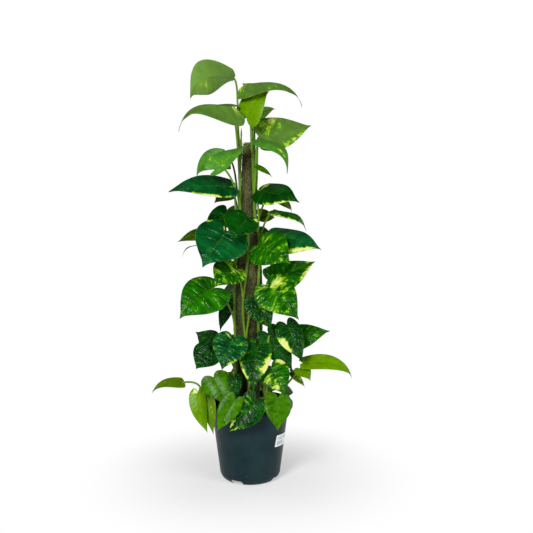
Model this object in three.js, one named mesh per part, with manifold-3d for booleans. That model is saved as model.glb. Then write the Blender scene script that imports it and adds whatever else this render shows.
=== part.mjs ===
// A golden pothos trained up a coir pole, in a round nursery pot.
// Millimetres, +Z up, -Y to the front, origin at the middle of the pot's foot on the floor.
import * as THREE from "three";
import { mergeVertices } from "three/addons/utils/BufferGeometryUtils.js";
import Module from "manifold-3d";

const wasm = await Module();
wasm.setup();

// ---- Driving dimensions ----
const GAP = 0.3; // air left between pieces that touch
const POT_HEIGHT = 214;
const POT_SIDES = 28;
const RIM_RADIUS = 119;
const RIM_DEPTH = 13; // height of the rolled rim
const RIM_INNER_RADIUS = 110;
const WALL = 2.5;
const WALL_TOP_RADIUS = 107;
const WALL_FOOT_RADIUS = 84;
const FOOT_CORNER = 16; // height of the rounded edge above the foot
const FOOT_RADIUS = 72;
const FLOOR_RISE = 13; // underside of the raised floor
const BOSS_RADIUS = 30; // flat middle that comes down to the ground
const NOTCH_WIDTH = 36; // drain slots cut through the foot's rounded edge
const NOTCH_DEPTH = 32;
const NOTCH_HEIGHT = 12.5;
const NOTCH_COUNT = 4;
const NOTCH_AZIMUTH = -28; // degrees from the front, towards +X
const DRAIN_RADIUS = 6;
const DRAIN_COUNT = 6;
const DRAIN_CIRCLE = 56;

const SOIL_TOP = 188;
const SOIL_MOUND = 7; // how far the middle of the soil stands above its edge
const STEM_HOLE_DEPTH = 30;

const POLE_X = -5; // the pole stands a little to one side of the pot's middle
const POLE_REACH = 110; // height over which a climbing stem comes in to the pole
const CORE_RADIUS = 9; // wooden stake inside the coir
const CORE_TOP = 928;
const CORE_FOOT = 8;
const CORE_SIDES = 8;
const COIR_TOP = 924;
const COIR_BOTTOM = 60;
const COIR_SIDES = 14;
const COIR_PROFILE = [
  // height, outer radius
  [COIR_BOTTOM, 31],
  [300, 33],
  [600, 32],
  [670, 28],
  [735, 17],
  [850, 16],
  [COIR_TOP, 12],
];

const STEM_RADIUS = 4;
const SHOOT_RADIUS = 2.8;
const PETIOLE_RADIUS = 2.8;
const PETIOLE_SIDES = 4;
const STEM_SIDES = 5;
const PETIOLE_STEPS = 4;
const STEM_STEP = 42; // height between two rings of a climbing stem
const BLADE_THICKNESS = 1;

const LABEL = { width: 60, height: 33, thick: 0.5, azimuth: 63, low: 103, tilt: 5 };

// ---- Small helpers ----
const vec = (p) => new THREE.Vector3(...p);
const radians = THREE.MathUtils.degToRad;

// A closed mesh as a solid, with its faces turned out.
function solidOf(geometry) {
  const bare = new THREE.BufferGeometry();
  bare.setAttribute("position", geometry.getAttribute("position").clone());
  if (geometry.index) bare.setIndex(geometry.index.clone());
  const merged = mergeVertices(bare, 1e-4);
  const triVerts = new Uint32Array(merged.index.array);
  const build = () =>
    new wasm.Manifold(
      new wasm.Mesh({
        numProp: 3,
        vertProperties: merged.attributes.position.array,
        triVerts,
      }),
    );
  const made = build();
  if (made.volume() > 0) return made;
  for (let i = 0; i < triVerts.length; i += 3) {
    [triVerts[i + 1], triVerts[i + 2]] = [triVerts[i + 2], triVerts[i + 1]];
  }
  return build();
}

function geometryOf(solid) {
  const mesh = solid.getMesh();
  const position = new Float32Array(mesh.numVert * 3);
  for (let i = 0; i < mesh.numVert; i++) {
    for (let k = 0; k < 3; k++) {
      position[3 * i + k] = mesh.vertProperties[mesh.numProp * i + k];
    }
  }
  const geometry = new THREE.BufferGeometry();
  geometry.setAttribute("position", new THREE.BufferAttribute(position, 3));
  geometry.setIndex(new THREE.BufferAttribute(new Uint32Array(mesh.triVerts), 1));
  geometry.computeVertexNormals();
  return geometry;
}

// A solid of revolution about +Z from [radius, height] points that start and end on the axis, or close up.
function turned(points, sides) {
  const profile = points.map(([r, z]) => new THREE.Vector2(r, z));
  const lathe = new THREE.LatheGeometry(profile, sides);
  lathe.rotateX(Math.PI / 2);
  return solidOf(lathe);
}

function cylinder(radius, low, high, sides, x = 0, y = 0) {
  const made = new THREE.CylinderGeometry(radius, radius, high - low, sides);
  made.rotateX(Math.PI / 2);
  made.translate(x, y, (low + high) / 2);
  return solidOf(made);
}

// A round tube along a curve.
function tube(curve, radius, sides, steps) {
  const section = new THREE.Shape();
  for (let i = 0; i <= sides; i++) {
    const angle = (2 * Math.PI * i) / sides;
    section[i ? "lineTo" : "moveTo"](radius * Math.cos(angle), radius * Math.sin(angle));
  }
  return solidOf(new THREE.ExtrudeGeometry(section, { steps, extrudePath: curve, bevelEnabled: false }));
}

// A point by its angle from the front towards +X, its distance from the axis and its height.
function around(azimuth, radius, height) {
  const a = radians(azimuth);
  return new THREE.Vector3(radius * Math.sin(a), -radius * Math.cos(a), height);
}

// ---- Pot ----
function makePot() {
  const shoulder = POT_HEIGHT - RIM_DEPTH;
  const shell = turned(
    [
      [0, 0],
      [BOSS_RADIUS, 0],
      [BOSS_RADIUS + 12, FLOOR_RISE],
      [WALL_FOOT_RADIUS - WALL - 1.5, FLOOR_RISE],
      [FOOT_RADIUS + 7 - WALL, FOOT_CORNER * 0.35],
      [FOOT_RADIUS - WALL, 0],
      [FOOT_RADIUS, 0],
      [FOOT_RADIUS + 7, FOOT_CORNER * 0.35],
      [WALL_FOOT_RADIUS, FOOT_CORNER],
      [WALL_TOP_RADIUS, shoulder],
      [RIM_RADIUS - 3, shoulder],
      [RIM_RADIUS, shoulder + 3],
      [RIM_RADIUS, POT_HEIGHT - 3],
      [RIM_RADIUS - 3, POT_HEIGHT],
      [RIM_INNER_RADIUS, POT_HEIGHT],
      [WALL_TOP_RADIUS - WALL, shoulder],
      [WALL_FOOT_RADIUS - WALL, FOOT_CORNER],
      [WALL_FOOT_RADIUS - WALL - 2, FLOOR_RISE + WALL],
      [BOSS_RADIUS + 11, FLOOR_RISE + WALL],
      [BOSS_RADIUS - 1, WALL],
      [0, WALL],
    ],
    POT_SIDES,
  );
  const cuts = [];
  for (let i = 0; i < NOTCH_COUNT; i++) {
    const notch = new THREE.BoxGeometry(NOTCH_WIDTH, NOTCH_DEPTH, 2 * NOTCH_HEIGHT);
    notch.translate(0, -(FOOT_RADIUS + 12), 0);
    notch.rotateZ(radians(NOTCH_AZIMUTH + (360 / NOTCH_COUNT) * i));
    cuts.push(solidOf(notch));
  }
  for (let i = 0; i < DRAIN_COUNT; i++) {
    const at = around((360 / DRAIN_COUNT) * i, DRAIN_CIRCLE, 0);
    cuts.push(cylinder(DRAIN_RADIUS, FLOOR_RISE - WALL, FLOOR_RISE + 2 * WALL, 8, at.x, at.y));
  }
  return cuts.reduce((left, cut) => left.subtract(cut), shell);
}

// Outer radius of the pot's wall at a height.
function potRadius(z) {
  const share = (z - FOOT_CORNER) / (POT_HEIGHT - RIM_DEPTH - FOOT_CORNER);
  return THREE.MathUtils.lerp(WALL_FOOT_RADIUS, WALL_TOP_RADIUS, share);
}

function makeLabel() {
  const { width, height, thick, azimuth, low, tilt } = LABEL;
  const geometry = new THREE.BoxGeometry(width, thick, height, 8, 1, 1);
  geometry.rotateY(radians(tilt));
  const p = geometry.attributes.position;
  for (let i = 0; i < p.count; i++) {
    const z = low + height / 2 + p.getZ(i);
    const radius = potRadius(z) + 2 * GAP + thick / 2 - p.getY(i);
    const turn = azimuth + THREE.MathUtils.radToDeg(p.getX(i) / potRadius(z));
    p.setXYZ(i, ...around(turn, radius, z).toArray());
  }
  return solidOf(geometry);
}

// ---- Coir pole ----
function poleRadius(z) {
  const next = COIR_PROFILE.findIndex(([height]) => height >= z);
  if (next <= 0) return COIR_PROFILE[next ? COIR_PROFILE.length - 1 : 0][1];
  const [z0, r0] = COIR_PROFILE[next - 1];
  const [z1, r1] = COIR_PROFILE[next];
  return THREE.MathUtils.mapLinear(z, z0, z1, r0, r1);
}

function makeCoir() {
  const outer = COIR_PROFILE.map(([z, r]) => [r, z]);
  const bore = CORE_RADIUS + 3 * GAP;
  const profile = [[bore, COIR_BOTTOM], ...outer, [bore, COIR_TOP], [bore, COIR_BOTTOM]];
  return turned(profile, COIR_SIDES).translate(POLE_X, 0, 0);
}

// ---- Leaves ----
// Half of a blade one unit long, from the notch at the stalk round a lobe to the tip. Each row is a point of
// the outline, as distances along the midrib and out from it, then where its vein leaves the midrib and
// whether the vein has a point halfway.
const BLADE_ROOT = 0.03;
const HALF_BLADE = [
  [-0.02, 0, BLADE_ROOT, false],
  [-0.13, 0.08, BLADE_ROOT, false],
  [-0.17, 0.22, BLADE_ROOT, false],
  [-0.04, 0.38, BLADE_ROOT, false],
  [0.2, 0.44, 0.14, true],
  [0.47, 0.37, 0.36, true],
  [0.7, 0.22, 0.6, false],
  [0.89, 0.06, 0.83, false],
  [1, 0, 1, false],
];
const HALF_WIDTH = 0.44;
const VEIN_HALF = 0.55;

// A blade is arched along its midrib, folded and curled across it, bent to one side, wider on one side than
// the other by its skew, and twisted, in radians from notch to tip. lobes is how far its lobes reach back.
const PLAIN_BLADE = { wide: 0.82, arch: 0.1, fold: 0.16, curl: 0.5, bend: 0, skew: 0, lobes: 1, twist: 0 };

// The surface of a blade: along and out are in blade lengths, lift is millimetres off its upper face.
function bladeSurface(leaf) {
  const { base, tip, face, wide, arch, fold, curl, bend, skew, lobes, twist } = { ...PLAIN_BLADE, ...leaf };
  const from = vec(base);
  const chord = vec(tip).sub(from);
  const length = chord.length();
  const ahead = chord.normalize();
  const normal = vec(face).addScaledVector(ahead, -vec(face).dot(ahead)).normalize();
  const side = new THREE.Vector3().crossVectors(ahead, normal);
  return (along, out, lift = 0) => {
    const a = along < 0 ? along * lobes : along;
    const y = ((out * wide) / (2 * HALF_WIDTH)) * (1 + skew * Math.sign(out));
    const bow = 4 * arch * a * (1 - a) * (0.6 + 0.8 * a); // steepest towards the tip
    const sway = 4 * bend * a * (1 - a);
    const rise = fold * Math.abs(y) - curl * y * y + lift / length;
    const turn = twist * (0.5 - a);
    const sideways = sway + y * Math.cos(turn) - rise * Math.sin(turn);
    const upwards = bow + y * Math.sin(turn) + rise * Math.cos(turn);
    return from
      .clone()
      .addScaledVector(ahead, a * length)
      .addScaledVector(side, sideways * length)
      .addScaledVector(normal, upwards * length);
  };
}

function makeBlade(leaf) {
  const at = bladeSurface(leaf);
  const flat = [];
  const known = new Map();
  const add = (along, out) => {
    const key = `${along},${out}`;
    if (!known.has(key)) known.set(key, flat.push([along, out]) - 1);
    return known.get(key);
  };
  const faces = [];
  const rim = [];
  for (const side of [1, -1]) {
    const rows = HALF_BLADE.map(([along, out, root, halfway]) => {
      const rib = add(root, 0);
      const edge = add(along, side * out);
      const middle = [THREE.MathUtils.lerp(root, along, VEIN_HALF), side * out * VEIN_HALF];
      return [rib, halfway ? add(...middle) : rib, edge];
    });
    for (let k = 1; k < rows.length; k++) {
      const turn = (a, b, c) => (side > 0 ? [b, a, c] : [a, b, c]);
      for (let j = 0; j < 2; j++) {
        const [a, b] = rows[k - 1].slice(j);
        const [d, c] = rows[k].slice(j);
        faces.push(turn(a, b, d), turn(b, c, d));
      }
      rim.push(side > 0 ? [rows[k - 1][2], rows[k][2]] : [rows[k][2], rows[k - 1][2]]);
    }
  }
  const position = [];
  for (const lift of [BLADE_THICKNESS / 2, -BLADE_THICKNESS / 2]) {
    for (const [along, out] of flat) position.push(...at(along, out, lift).toArray());
  }
  const under = flat.length;
  const index = [];
  for (const [a, b, c] of faces.filter((ids) => new Set(ids).size === 3)) {
    index.push(a, b, c, under + c, under + b, under + a);
  }
  for (const [a, b] of rim) index.push(a, b, under + b, a, under + b, under + a);
  const geometry = new THREE.BufferGeometry();
  geometry.setAttribute("position", new THREE.Float32BufferAttribute(position, 3));
  geometry.setIndex(index);
  return solidOf(geometry);
}

// A leaf stalk: it leaves the stem upwards, and comes into the blade from behind its notch.
function petioleCurve(leaf, stem) {
  const start = stem.at(leaf.from);
  const at = bladeSurface(leaf);
  const end = at(BLADE_ROOT + 0.02, 0);
  const reach = end.distanceTo(start);
  const level = end.clone().sub(start).setZ(0);
  if (level.length() < 1) level.copy(start).setZ(0);
  level.normalize();
  const up = leaf.rise ?? 0.45;
  const first = start.clone().addScaledVector(level, 0.1 * reach);
  first.z += up * reach;
  const second = end.clone().addScaledVector(level, -0.18 * reach);
  second.z += (leaf.drop ?? 0.05) * reach;
  return new THREE.CubicBezierCurve3(start, first, second, end);
}

// ---- Stems ----
// A climbing stem: straight out of the soil at its foot, in to the pole, then up it. Angles are about the pole.
function climbingStem({ azimuth, foot, top, sway = 8, lean = 0 }) {
  const out = SOIL_TOP + 12;
  const at = (z) => {
    const above = Math.max(z - out, 0);
    const share = THREE.MathUtils.smoothstep(above, 0, POLE_REACH);
    const near = poleRadius(Math.max(z, out + POLE_REACH)) + STEM_RADIUS + 1.5 + lean;
    const point = around(azimuth + sway * Math.sin(above / 60), THREE.MathUtils.lerp(foot, near, share), z);
    point.x += POLE_X;
    return point;
  };
  const steps = Math.round((top - out) / STEM_STEP);
  const heights = Array.from({ length: steps + 1 }, (_, i) => THREE.MathUtils.lerp(out, top, i / steps));
  return { at, points: [SOIL_TOP - STEM_HOLE_DEPTH + 4, ...heights].map(at), radius: STEM_RADIUS };
}

// A young shoot through hand-set points, straight up out of the soil.
function youngShoot(...points) {
  const path = new THREE.CatmullRomCurve3(points.map(vec));
  const low = vec(points[0]).setZ(SOIL_TOP - STEM_HOLE_DEPTH + 4);
  return { at: (share) => path.getPoint(share), points: [low, ...path.getPoints(5)], radius: SHOOT_RADIUS };
}

// A leaf at the back: by where its stalk grows, the side of the pole it hangs on, and its length.
function rearLeaf([from, azimuth, size, reach = 62, up = 60]) {
  const base = around(azimuth, reach, up);
  const tip = around(azimuth + (azimuth < 180 ? 9 : -9), reach + 0.62 * size, up - 0.76 * size);
  const face = around(azimuth, 1, 0.75);
  const height = from > 1 ? from : SOIL_TOP + 60;
  base.z += height;
  tip.z += height;
  const ends = { base: base.toArray(), tip: tip.toArray(), face: face.toArray() };
  return { from, ...ends, wide: 0.84, arch: 0.1, fold: 0.1 };
}

// Each leaf: where its stalk meets the blade, the blade's tip, and roughly which way the upper face looks.
// `from` is where the stalk grows: a height on a climbing stem, or a share of a young shoot's length.
const STEMS = [
  {
    name: "vine_left_front",
    stem: climbingStem({ azimuth: -62, foot: 62, top: 945, lean: 1 }),
    leaves: [
      {
        from: 905, base: [-42, -22, 1096], tip: [-154, -40, 1038],
        face: [0.1, 0.7, 0.6], wide: 1.04, arch: 0.3, fold: 0, curl: -0.3, bend: -0.12,
        skew: 0.1, lobes: 0.15, twist: 1.6,
      },
      {
        from: 850, base: [-41, -52, 1018], tip: [-183, -80, 956],
        face: [-0.17, -0.25, 0.95], wide: 0.56, arch: 0.25, fold: -0.6, curl: 0.1,
        skew: -0.15, lobes: 0.6, twist: 1.2,
      },
      {
        from: 760, base: [-86, -60, 861], tip: [3, -56, 927],
        face: [-0.48, -0.64, 0.6], wide: 0.54, arch: 0.03, fold: 0, curl: 0.3, bend: 0.04,
        skew: -0.35, lobes: 1.3, twist: -1,
      },
      {
        from: 680, base: [-44, -26, 811], tip: [-212, -62, 800],
        face: [0.05, -0.72, 0.7], wide: 0.54, fold: -0.1, curl: 0.4, bend: -0.02,
        skew: 0.2, lobes: 0.4, twist: -0.4,
      },
      {
        from: 590, base: [-61, -66, 695], tip: [-122, -124, 609],
        face: [0.04, -0.82, 0.57], wide: 1.22, arch: 0.06,
      },
      {
        from: 440, base: [-98, -46, 541], tip: [-185, -92, 467],
        face: [0.02, -0.85, 0.53], wide: 0.98, arch: 0.06, bend: 0.06, skew: -0.06,
      },
    ],
  },
  {
    name: "vine_right_front",
    stem: climbingStem({ azimuth: 52, foot: 60, top: 960 }),
    leaves: [
      {
        from: 890, base: [-15, -30, 1077], tip: [139, -60, 1022],
        face: [0.2, -0.25, 0.95], wide: 0.49, arch: 0.2, fold: -0.55, curl: 0.1, lobes: 0.2, twist: -1,
      },
      {
        from: 925, base: [-7, -38, 992], tip: [53, -38, 1060],
        face: [-0.2, -0.85, 0.45], wide: 0.9, bend: -0.08, lobes: 0.7,
      },
      {
        from: 800, base: [23, -46, 936], tip: [99, -80, 847],
        face: [0.5, -0.55, 0.66], wide: 0.54, arch: 0.28, fold: -0.1, bend: 0.03, lobes: 0.2,
      },
      {
        from: 790, base: [20, -38, 864], tip: [60, -52, 837],
        face: [0.33, -0.6, 0.75], wide: 0.46, arch: 0.05, fold: 0.2,
      },
      {
        from: 690, base: [25, -14, 803], tip: [131, -66, 772],
        face: [0, -0.68, 0.72], wide: 0.92, arch: 0.12, fold: -0.1, curl: 0.4, bend: 0.08,
        skew: -0.22, lobes: 0.3, twist: 0.3,
      },
      {
        from: 560, base: [28, -64, 659], tip: [106, -118, 617],
        face: [-0.22, -0.77, 0.6], wide: 1.1, arch: 0.06, skew: -0.08,
      },
      {
        from: 450, base: [50, -58, 548], tip: [129, -106, 467],
        face: [-0.02, -0.88, 0.47], wide: 0.88, arch: 0.06,
      },
    ],
  },
  {
    name: "vine_front",
    stem: climbingStem({ azimuth: -8, foot: 58, top: 690, sway: 12 }),
    leaves: [
      {
        from: 640, base: [-6, -64, 730], tip: [-48, -118, 678],
        face: [0.21, -0.71, 0.67], wide: 1.12, arch: 0.08, skew: 0.2,
      },
      {
        from: 510, base: [-36, -58, 593], tip: [-92, -100, 552],
        face: [0.14, -0.77, 0.62], wide: 1.12, arch: 0.06, bend: 0.05, skew: 0.15,
      },
      {
        from: 385, rise: 0.6, base: [-46, -82, 411], tip: [-74, -122, 336],
        face: [0.02, -0.87, 0.5], wide: 1.05, arch: 0.06,
      },
      {
        from: 400, base: [14, -60, 513], tip: [57, -86, 436],
        face: [0.02, -0.92, 0.39], wide: 0.8, arch: 0.04,
      },
      {
        from: 310, base: [19, -62, 387], tip: [10, -112, 274],
        face: [0, -0.91, 0.4], wide: 0.7, arch: 0.06, bend: 0.03,
      },
    ],
  },
  {
    name: "vine_right_back",
    stem: climbingStem({ azimuth: 112, foot: 58, top: 905 }),
    leaves: [
      {
        from: 880, base: [10, 20, 989], tip: [73, 60, 1019],
        face: [0.01, -0.7, 0.6], wide: 0.54, bend: -0.05, lobes: 0.6,
      },
      {
        from: 790, base: [26, -10, 945], tip: [167, 12, 973],
        face: [-0.1, -0.9, 0.4], wide: 0.7, arch: 0.06, fold: 0.05, curl: 0.4,
        bend: 0.07, skew: -0.1, lobes: 0.4,
      },
      { from: 700, base: [60, 12, 790], tip: [118, 38, 738], face: [0.68, -0.53, 0.5], wide: 0.6 },
      { from: 680, base: [26, 34, 731], tip: [71, 60, 721], face: [0.2, -0.8, 0.55], wide: 0.8 },
      {
        from: 655, base: [67, -20, 747], tip: [150, -70, 698],
        face: [0.37, -0.4, 0.85], wide: 0.56, arch: 0.16, fold: -0.1, lobes: 0.5,
      },
      {
        from: 610, base: [58, -18, 682], tip: [192, -58, 646],
        face: [0.05, -0.66, 0.74], wide: 0.78, arch: 0.12, fold: -0.15, bend: 0.04, lobes: 0.6, twist: 0.2,
      },
      {
        from: 440, base: [51, -22, 559], tip: [180, 6, 608],
        face: [-0.06, -0.88, 0.47], wide: 0.62, arch: 0.04, bend: 0.04, skew: 0.1, lobes: 0.3,
      },
      {
        from: 350, base: [101, -38, 437], tip: [141, -70, 343],
        face: [0.12, -0.91, 0.39], wide: 0.68, arch: 0.06, skew: 0.12,
      },
      {
        from: 330, base: [106, 4, 394], tip: [221, -6, 415],
        face: [-0.17, -0.84, 0.52], wide: 0.64, arch: 0.04, fold: -0.15,
      },
    ],
  },
  {
    name: "vine_left_back",
    stem: climbingStem({ azimuth: -118, foot: 60, top: 800 }),
    leaves: [
      {
        from: 750, base: [-55, 8, 881], tip: [-146, 44, 832],
        face: [-0.1, -0.88, 0.45], wide: 0.62, arch: 0.14, fold: 0.25, curl: 0.1, bend: 0.16, lobes: 0.1,
      },
      {
        from: 725, base: [-52, 26, 801], tip: [-98, 50, 763],
        face: [-0.1, 0.95, 0.3], wide: 0.85, arch: 0.12, fold: 0.1, curl: 0.2, bend: 0.04, lobes: 0.7,
      },
      {
        from: 660, base: [-64, 12, 740], tip: [-117, -8, 680],
        face: [-0.24, -0.84, 0.49], wide: 0.9, arch: 0.06,
      },
      {
        from: 610, base: [-119, 24, 685], tip: [-199, 34, 658],
        face: [-0.32, -0.59, 0.74], wide: 0.6, arch: 0.04,
      },
      {
        from: 560, base: [-122, 20, 650], tip: [-186, 22, 617],
        face: [-0.45, 0.1, 0.89], wide: 0.6, arch: 0.2,
      },
      {
        from: 420, base: [-57, 16, 494], tip: [-82, 4, 413],
        face: [-0.55, -0.78, 0.3], wide: 0.56, arch: 0.04,
      },
      {
        from: 320, base: [-99, 16, 374], tip: [-149, -4, 413],
        face: [0.39, -0.92, 0.04], wide: 1, arch: 0.04,
      },
      {
        from: 300, base: [-111, -16, 365], tip: [-147, -38, 317],
        face: [0, -0.89, 0.46], wide: 1.25, arch: 0.04,
      },
    ],
  },
  {
    name: "vine_back",
    stem: climbingStem({ azimuth: 178, foot: 58, top: 760 }),
    leaves: [
      [690, 212, 100],
      [630, 165, 110],
      [615, 215, 125],
      [590, 140, 120],
      [480, 205, 120],
      [465, 148, 130],
      [330, 218, 125],
      [320, 150, 125],
    ].map(rearLeaf),
  },
  {
    name: "shoot_right",
    stem: youngShoot([78, -16, SOIL_TOP + 10], [92, -18, 250], [128, -20, 300], [146, -22, 318]),
    leaves: [
      {
        from: 1, base: [146, -34, 332], tip: [282, -10, 283],
        face: [0.11, -0.6, 0.8], wide: 0.42, arch: 0.22, fold: 0.1, bend: -0.02, lobes: 0.4, twist: 0.6,
      },
      {
        from: 0.9, base: [137, -40, 318], tip: [163, -76, 294],
        face: [-0.06, -0.55, 0.83], wide: 0.9, arch: 0.08,
      },
      {
        from: 0.6, base: [115, -4, 296], tip: [153, 2, 253],
        face: [0.65, -0.58, 0.49], wide: 0.5, arch: 0.06,
      },
    ],
  },
  {
    name: "shoot_left",
    stem: youngShoot([-74, -40, SOIL_TOP + 16], [-86, -44, 240], [-118, -56, 262], [-132, -62, 266]),
    leaves: [
      {
        from: 1, base: [-183, -38, 280], tip: [-266, -56, 257],
        face: [-0.13, -0.52, 0.84], wide: 0.48, arch: 0.2, fold: 0.1, lobes: 0.3,
      },
      {
        from: 0.9, base: [-140, -74, 262], tip: [-113, -100, 157],
        face: [0.28, -0.92, 0.27], wide: 0.44, arch: 0.05, fold: -0.3, bend: 0.06, lobes: 0.7,
      },
      {
        from: 0.4, base: [-110, -64, 234], tip: [-99, -90, 150],
        face: [-0.27, -0.92, 0.27], wide: 0.4, arch: 0.04,
      },
    ],
  },
  {
    name: "shoot_front_left",
    stem: youngShoot([-46, -64, SOIL_TOP + 10], [-50, -66, 240], [-52, -62, 290]),
    leaves: [
      {
        from: 0.9, base: [-97, -68, 301], tip: [-64, -96, 233],
        face: [-0.08, -0.9, 0.42], wide: 1.05, arch: 0.06, bend: -0.04,
      },
      {
        from: 0.5, base: [-40, -126, 256], tip: [-86, -148, 178],
        face: [-0.06, -0.96, 0.29], wide: 0.62, arch: 0.05, skew: 0.1,
      },
      {
        from: 1, base: [-43, -76, 305], tip: [-32, -100, 256],
        face: [-0.01, -0.9, 0.44], wide: 0.7, arch: 0.04,
      },
    ],
  },
  {
    name: "shoot_front_right",
    stem: youngShoot([42, -66, SOIL_TOP + 10], [44, -68, 240], [46, -66, 290]),
    leaves: [
      {
        from: 0.4, base: [14, -118, 250], tip: [-59, -138, 173],
        face: [-0.06, -0.95, 0.32], wide: 0.7, arch: 0.05, bend: -0.05,
      },
      {
        from: 0.6, base: [74, -114, 257], tip: [72, -142, 176],
        face: [0.09, -0.94, 0.32], wide: 0.86, arch: 0.05,
      },
      {
        from: 1, base: [58, -76, 332], tip: [93, -114, 264],
        face: [-0.02, -0.88, 0.48], wide: 0.95, arch: 0.06,
      },
      {
        from: 0.9, base: [50, -44, 415], tip: [116, -52, 315],
        face: [0.09, -0.98, 0.2], wide: 0.66, arch: 0.04,
      },
    ],
  },
  {
    name: "shoot_back_left",
    stem: youngShoot([-48, 62, SOIL_TOP + 10], [-52, 66, 240], [-50, 72, 280]),
    leaves: [
      [0.5, 232, 95, 116, 0],
      [0.8, 205, 110, 116, 20],
      [1, 186, 100, 102, 44],
    ].map(rearLeaf),
  },
  {
    name: "shoot_back_right",
    stem: youngShoot([50, 60, SOIL_TOP + 10], [54, 64, 240], [56, 70, 280]),
    leaves: [
      [0.5, 133, 90, 118, 0],
      [0.8, 159, 112, 112, 6],
    ].map(rearLeaf),
  },
];

function stemParts({ stem, leaves }) {
  const path = new THREE.CatmullRomCurve3(stem.points, false, "centripetal");
  const parts = [tube(path, stem.radius, STEM_SIDES, stem.points.length - 1)];
  for (const leaf of leaves) {
    parts.push(makeBlade(leaf));
    parts.push(tube(petioleCurve(leaf, stem), PETIOLE_RADIUS, PETIOLE_SIDES, PETIOLE_STEPS));
  }
  return parts;
}

function makeSoil() {
  const wall = (z) => potRadius(z) - WALL - GAP;
  const bottom = WALL + GAP;
  const floor = FLOOR_RISE + WALL + GAP;
  const top = SOIL_TOP + SOIL_MOUND;
  const soil = turned(
    [
      [0, bottom],
      [BOSS_RADIUS - 2, bottom],
      [BOSS_RADIUS + 10, floor],
      [WALL_FOOT_RADIUS - WALL - 3, floor],
      [wall(FOOT_CORNER + 4), FOOT_CORNER + 4],
      [wall(SOIL_TOP), SOIL_TOP],
      [wall(SOIL_TOP) * 0.6, SOIL_TOP + SOIL_MOUND * 0.8],
      [0, top],
    ],
    POT_SIDES,
  );
  const holes = [
    cylinder(COIR_PROFILE[1][1] + GAP, COIR_BOTTOM - GAP, top + 5, COIR_SIDES, POLE_X),
    cylinder(CORE_RADIUS + GAP, CORE_FOOT - GAP, top + 5, CORE_SIDES, POLE_X),
  ];
  for (const { stem } of STEMS) {
    const { x, y } = stem.points[0];
    holes.push(cylinder(stem.radius + 1.2, SOIL_TOP - STEM_HOLE_DEPTH, top + 5, 8, x, y));
  }
  return holes.reduce((left, hole) => left.subtract(hole), soil);
}

// ---- Assembly ----
const group = new THREE.Group();

function addPiece(name, solid, color, roughness) {
  const material = new THREE.MeshStandardMaterial({ color, roughness, metalness: 0 });
  const mesh = new THREE.Mesh(geometryOf(solid), material);
  mesh.name = name;
  group.add(mesh);
}

addPiece("pot", makePot(), 0x1c2b30, 0.45);
addPiece("soil", makeSoil(), 0x2b211a, 1);
addPiece("pole_core", cylinder(CORE_RADIUS, CORE_FOOT, CORE_TOP, CORE_SIDES, POLE_X), 0x8a6a45, 0.8);
addPiece("coir_wrap", makeCoir(), 0x4a3722, 1);
addPiece("label", makeLabel(), 0xe8edf0, 0.6);
for (const plant of STEMS) {
  const green = plant.name.startsWith("vine") ? 0x1f7a24 : 0x4f9a1f;
  addPiece(plant.name, wasm.Manifold.union(stemParts(plant)), green, 0.4);
}

export default group;
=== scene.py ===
"""A golden pothos on a coir pole in a nursery pot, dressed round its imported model.

Row frame: metres, +Z up, -Y to the front, origin at the middle of the pot's foot.
The object's sizes and places are in millimetres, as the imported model's own source has them.
"""

import random
from itertools import product
from math import copysign, cos, degrees, hypot, pi, radians, sin, sqrt

import bmesh
import bpy
import numpy as np
from mathutils import Matrix, Vector, noise


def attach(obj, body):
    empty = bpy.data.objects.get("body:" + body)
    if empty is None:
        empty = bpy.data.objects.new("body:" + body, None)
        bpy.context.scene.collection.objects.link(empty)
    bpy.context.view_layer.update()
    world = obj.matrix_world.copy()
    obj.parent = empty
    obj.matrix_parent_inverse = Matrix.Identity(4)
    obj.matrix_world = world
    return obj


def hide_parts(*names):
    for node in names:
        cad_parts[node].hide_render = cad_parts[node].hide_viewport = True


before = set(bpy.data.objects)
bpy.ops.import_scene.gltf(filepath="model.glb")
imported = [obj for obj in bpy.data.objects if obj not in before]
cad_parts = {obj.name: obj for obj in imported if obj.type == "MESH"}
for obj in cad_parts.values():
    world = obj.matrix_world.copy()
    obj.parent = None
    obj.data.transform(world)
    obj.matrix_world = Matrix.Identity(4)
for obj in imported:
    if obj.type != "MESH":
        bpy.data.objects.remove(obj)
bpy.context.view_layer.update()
MM = 0.001
UP = np.array([0.0, 0.0, 1.0])
norm = np.linalg.norm
TURN = 2 * pi


# ---- Camera and light
CAMERA_AT = (0, -2.3, 0.9)
CAMERA_PITCH = 7.6  # degrees below the horizon
CAMERA_YAW = 1.14  # degrees to the right of the plant
LENS = 57.5
LIGHT_AIM = Vector((0, 0, 0.6))
LIGHTS = {
    # where, size, watts
    "key": ((-1.1, -2.5, 1.9), 1.1, 84),
    "fill": ((1.8, -1.6, 1.2), 1.6, 32),
    "back": ((1.7, 1.9, 1.1), 1.6, 12),
    "rear": ((-1.9, 1.6, 1.0), 1.6, 10),
}
SKY_GREY = (0.9, 0.9, 0.9, 1)
SKY_STRENGTH = 0.08


def put(name, data):
    thing = bpy.data.objects.new(name, data)
    bpy.context.scene.collection.objects.link(thing)
    return thing


def add_camera():
    camera = put("camera", bpy.data.cameras.new("camera"))
    camera.data.lens = LENS
    camera.location = CAMERA_AT
    camera.rotation_euler = (radians(90 - CAMERA_PITCH), 0, -radians(CAMERA_YAW))
    bpy.context.scene.camera = camera


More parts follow.
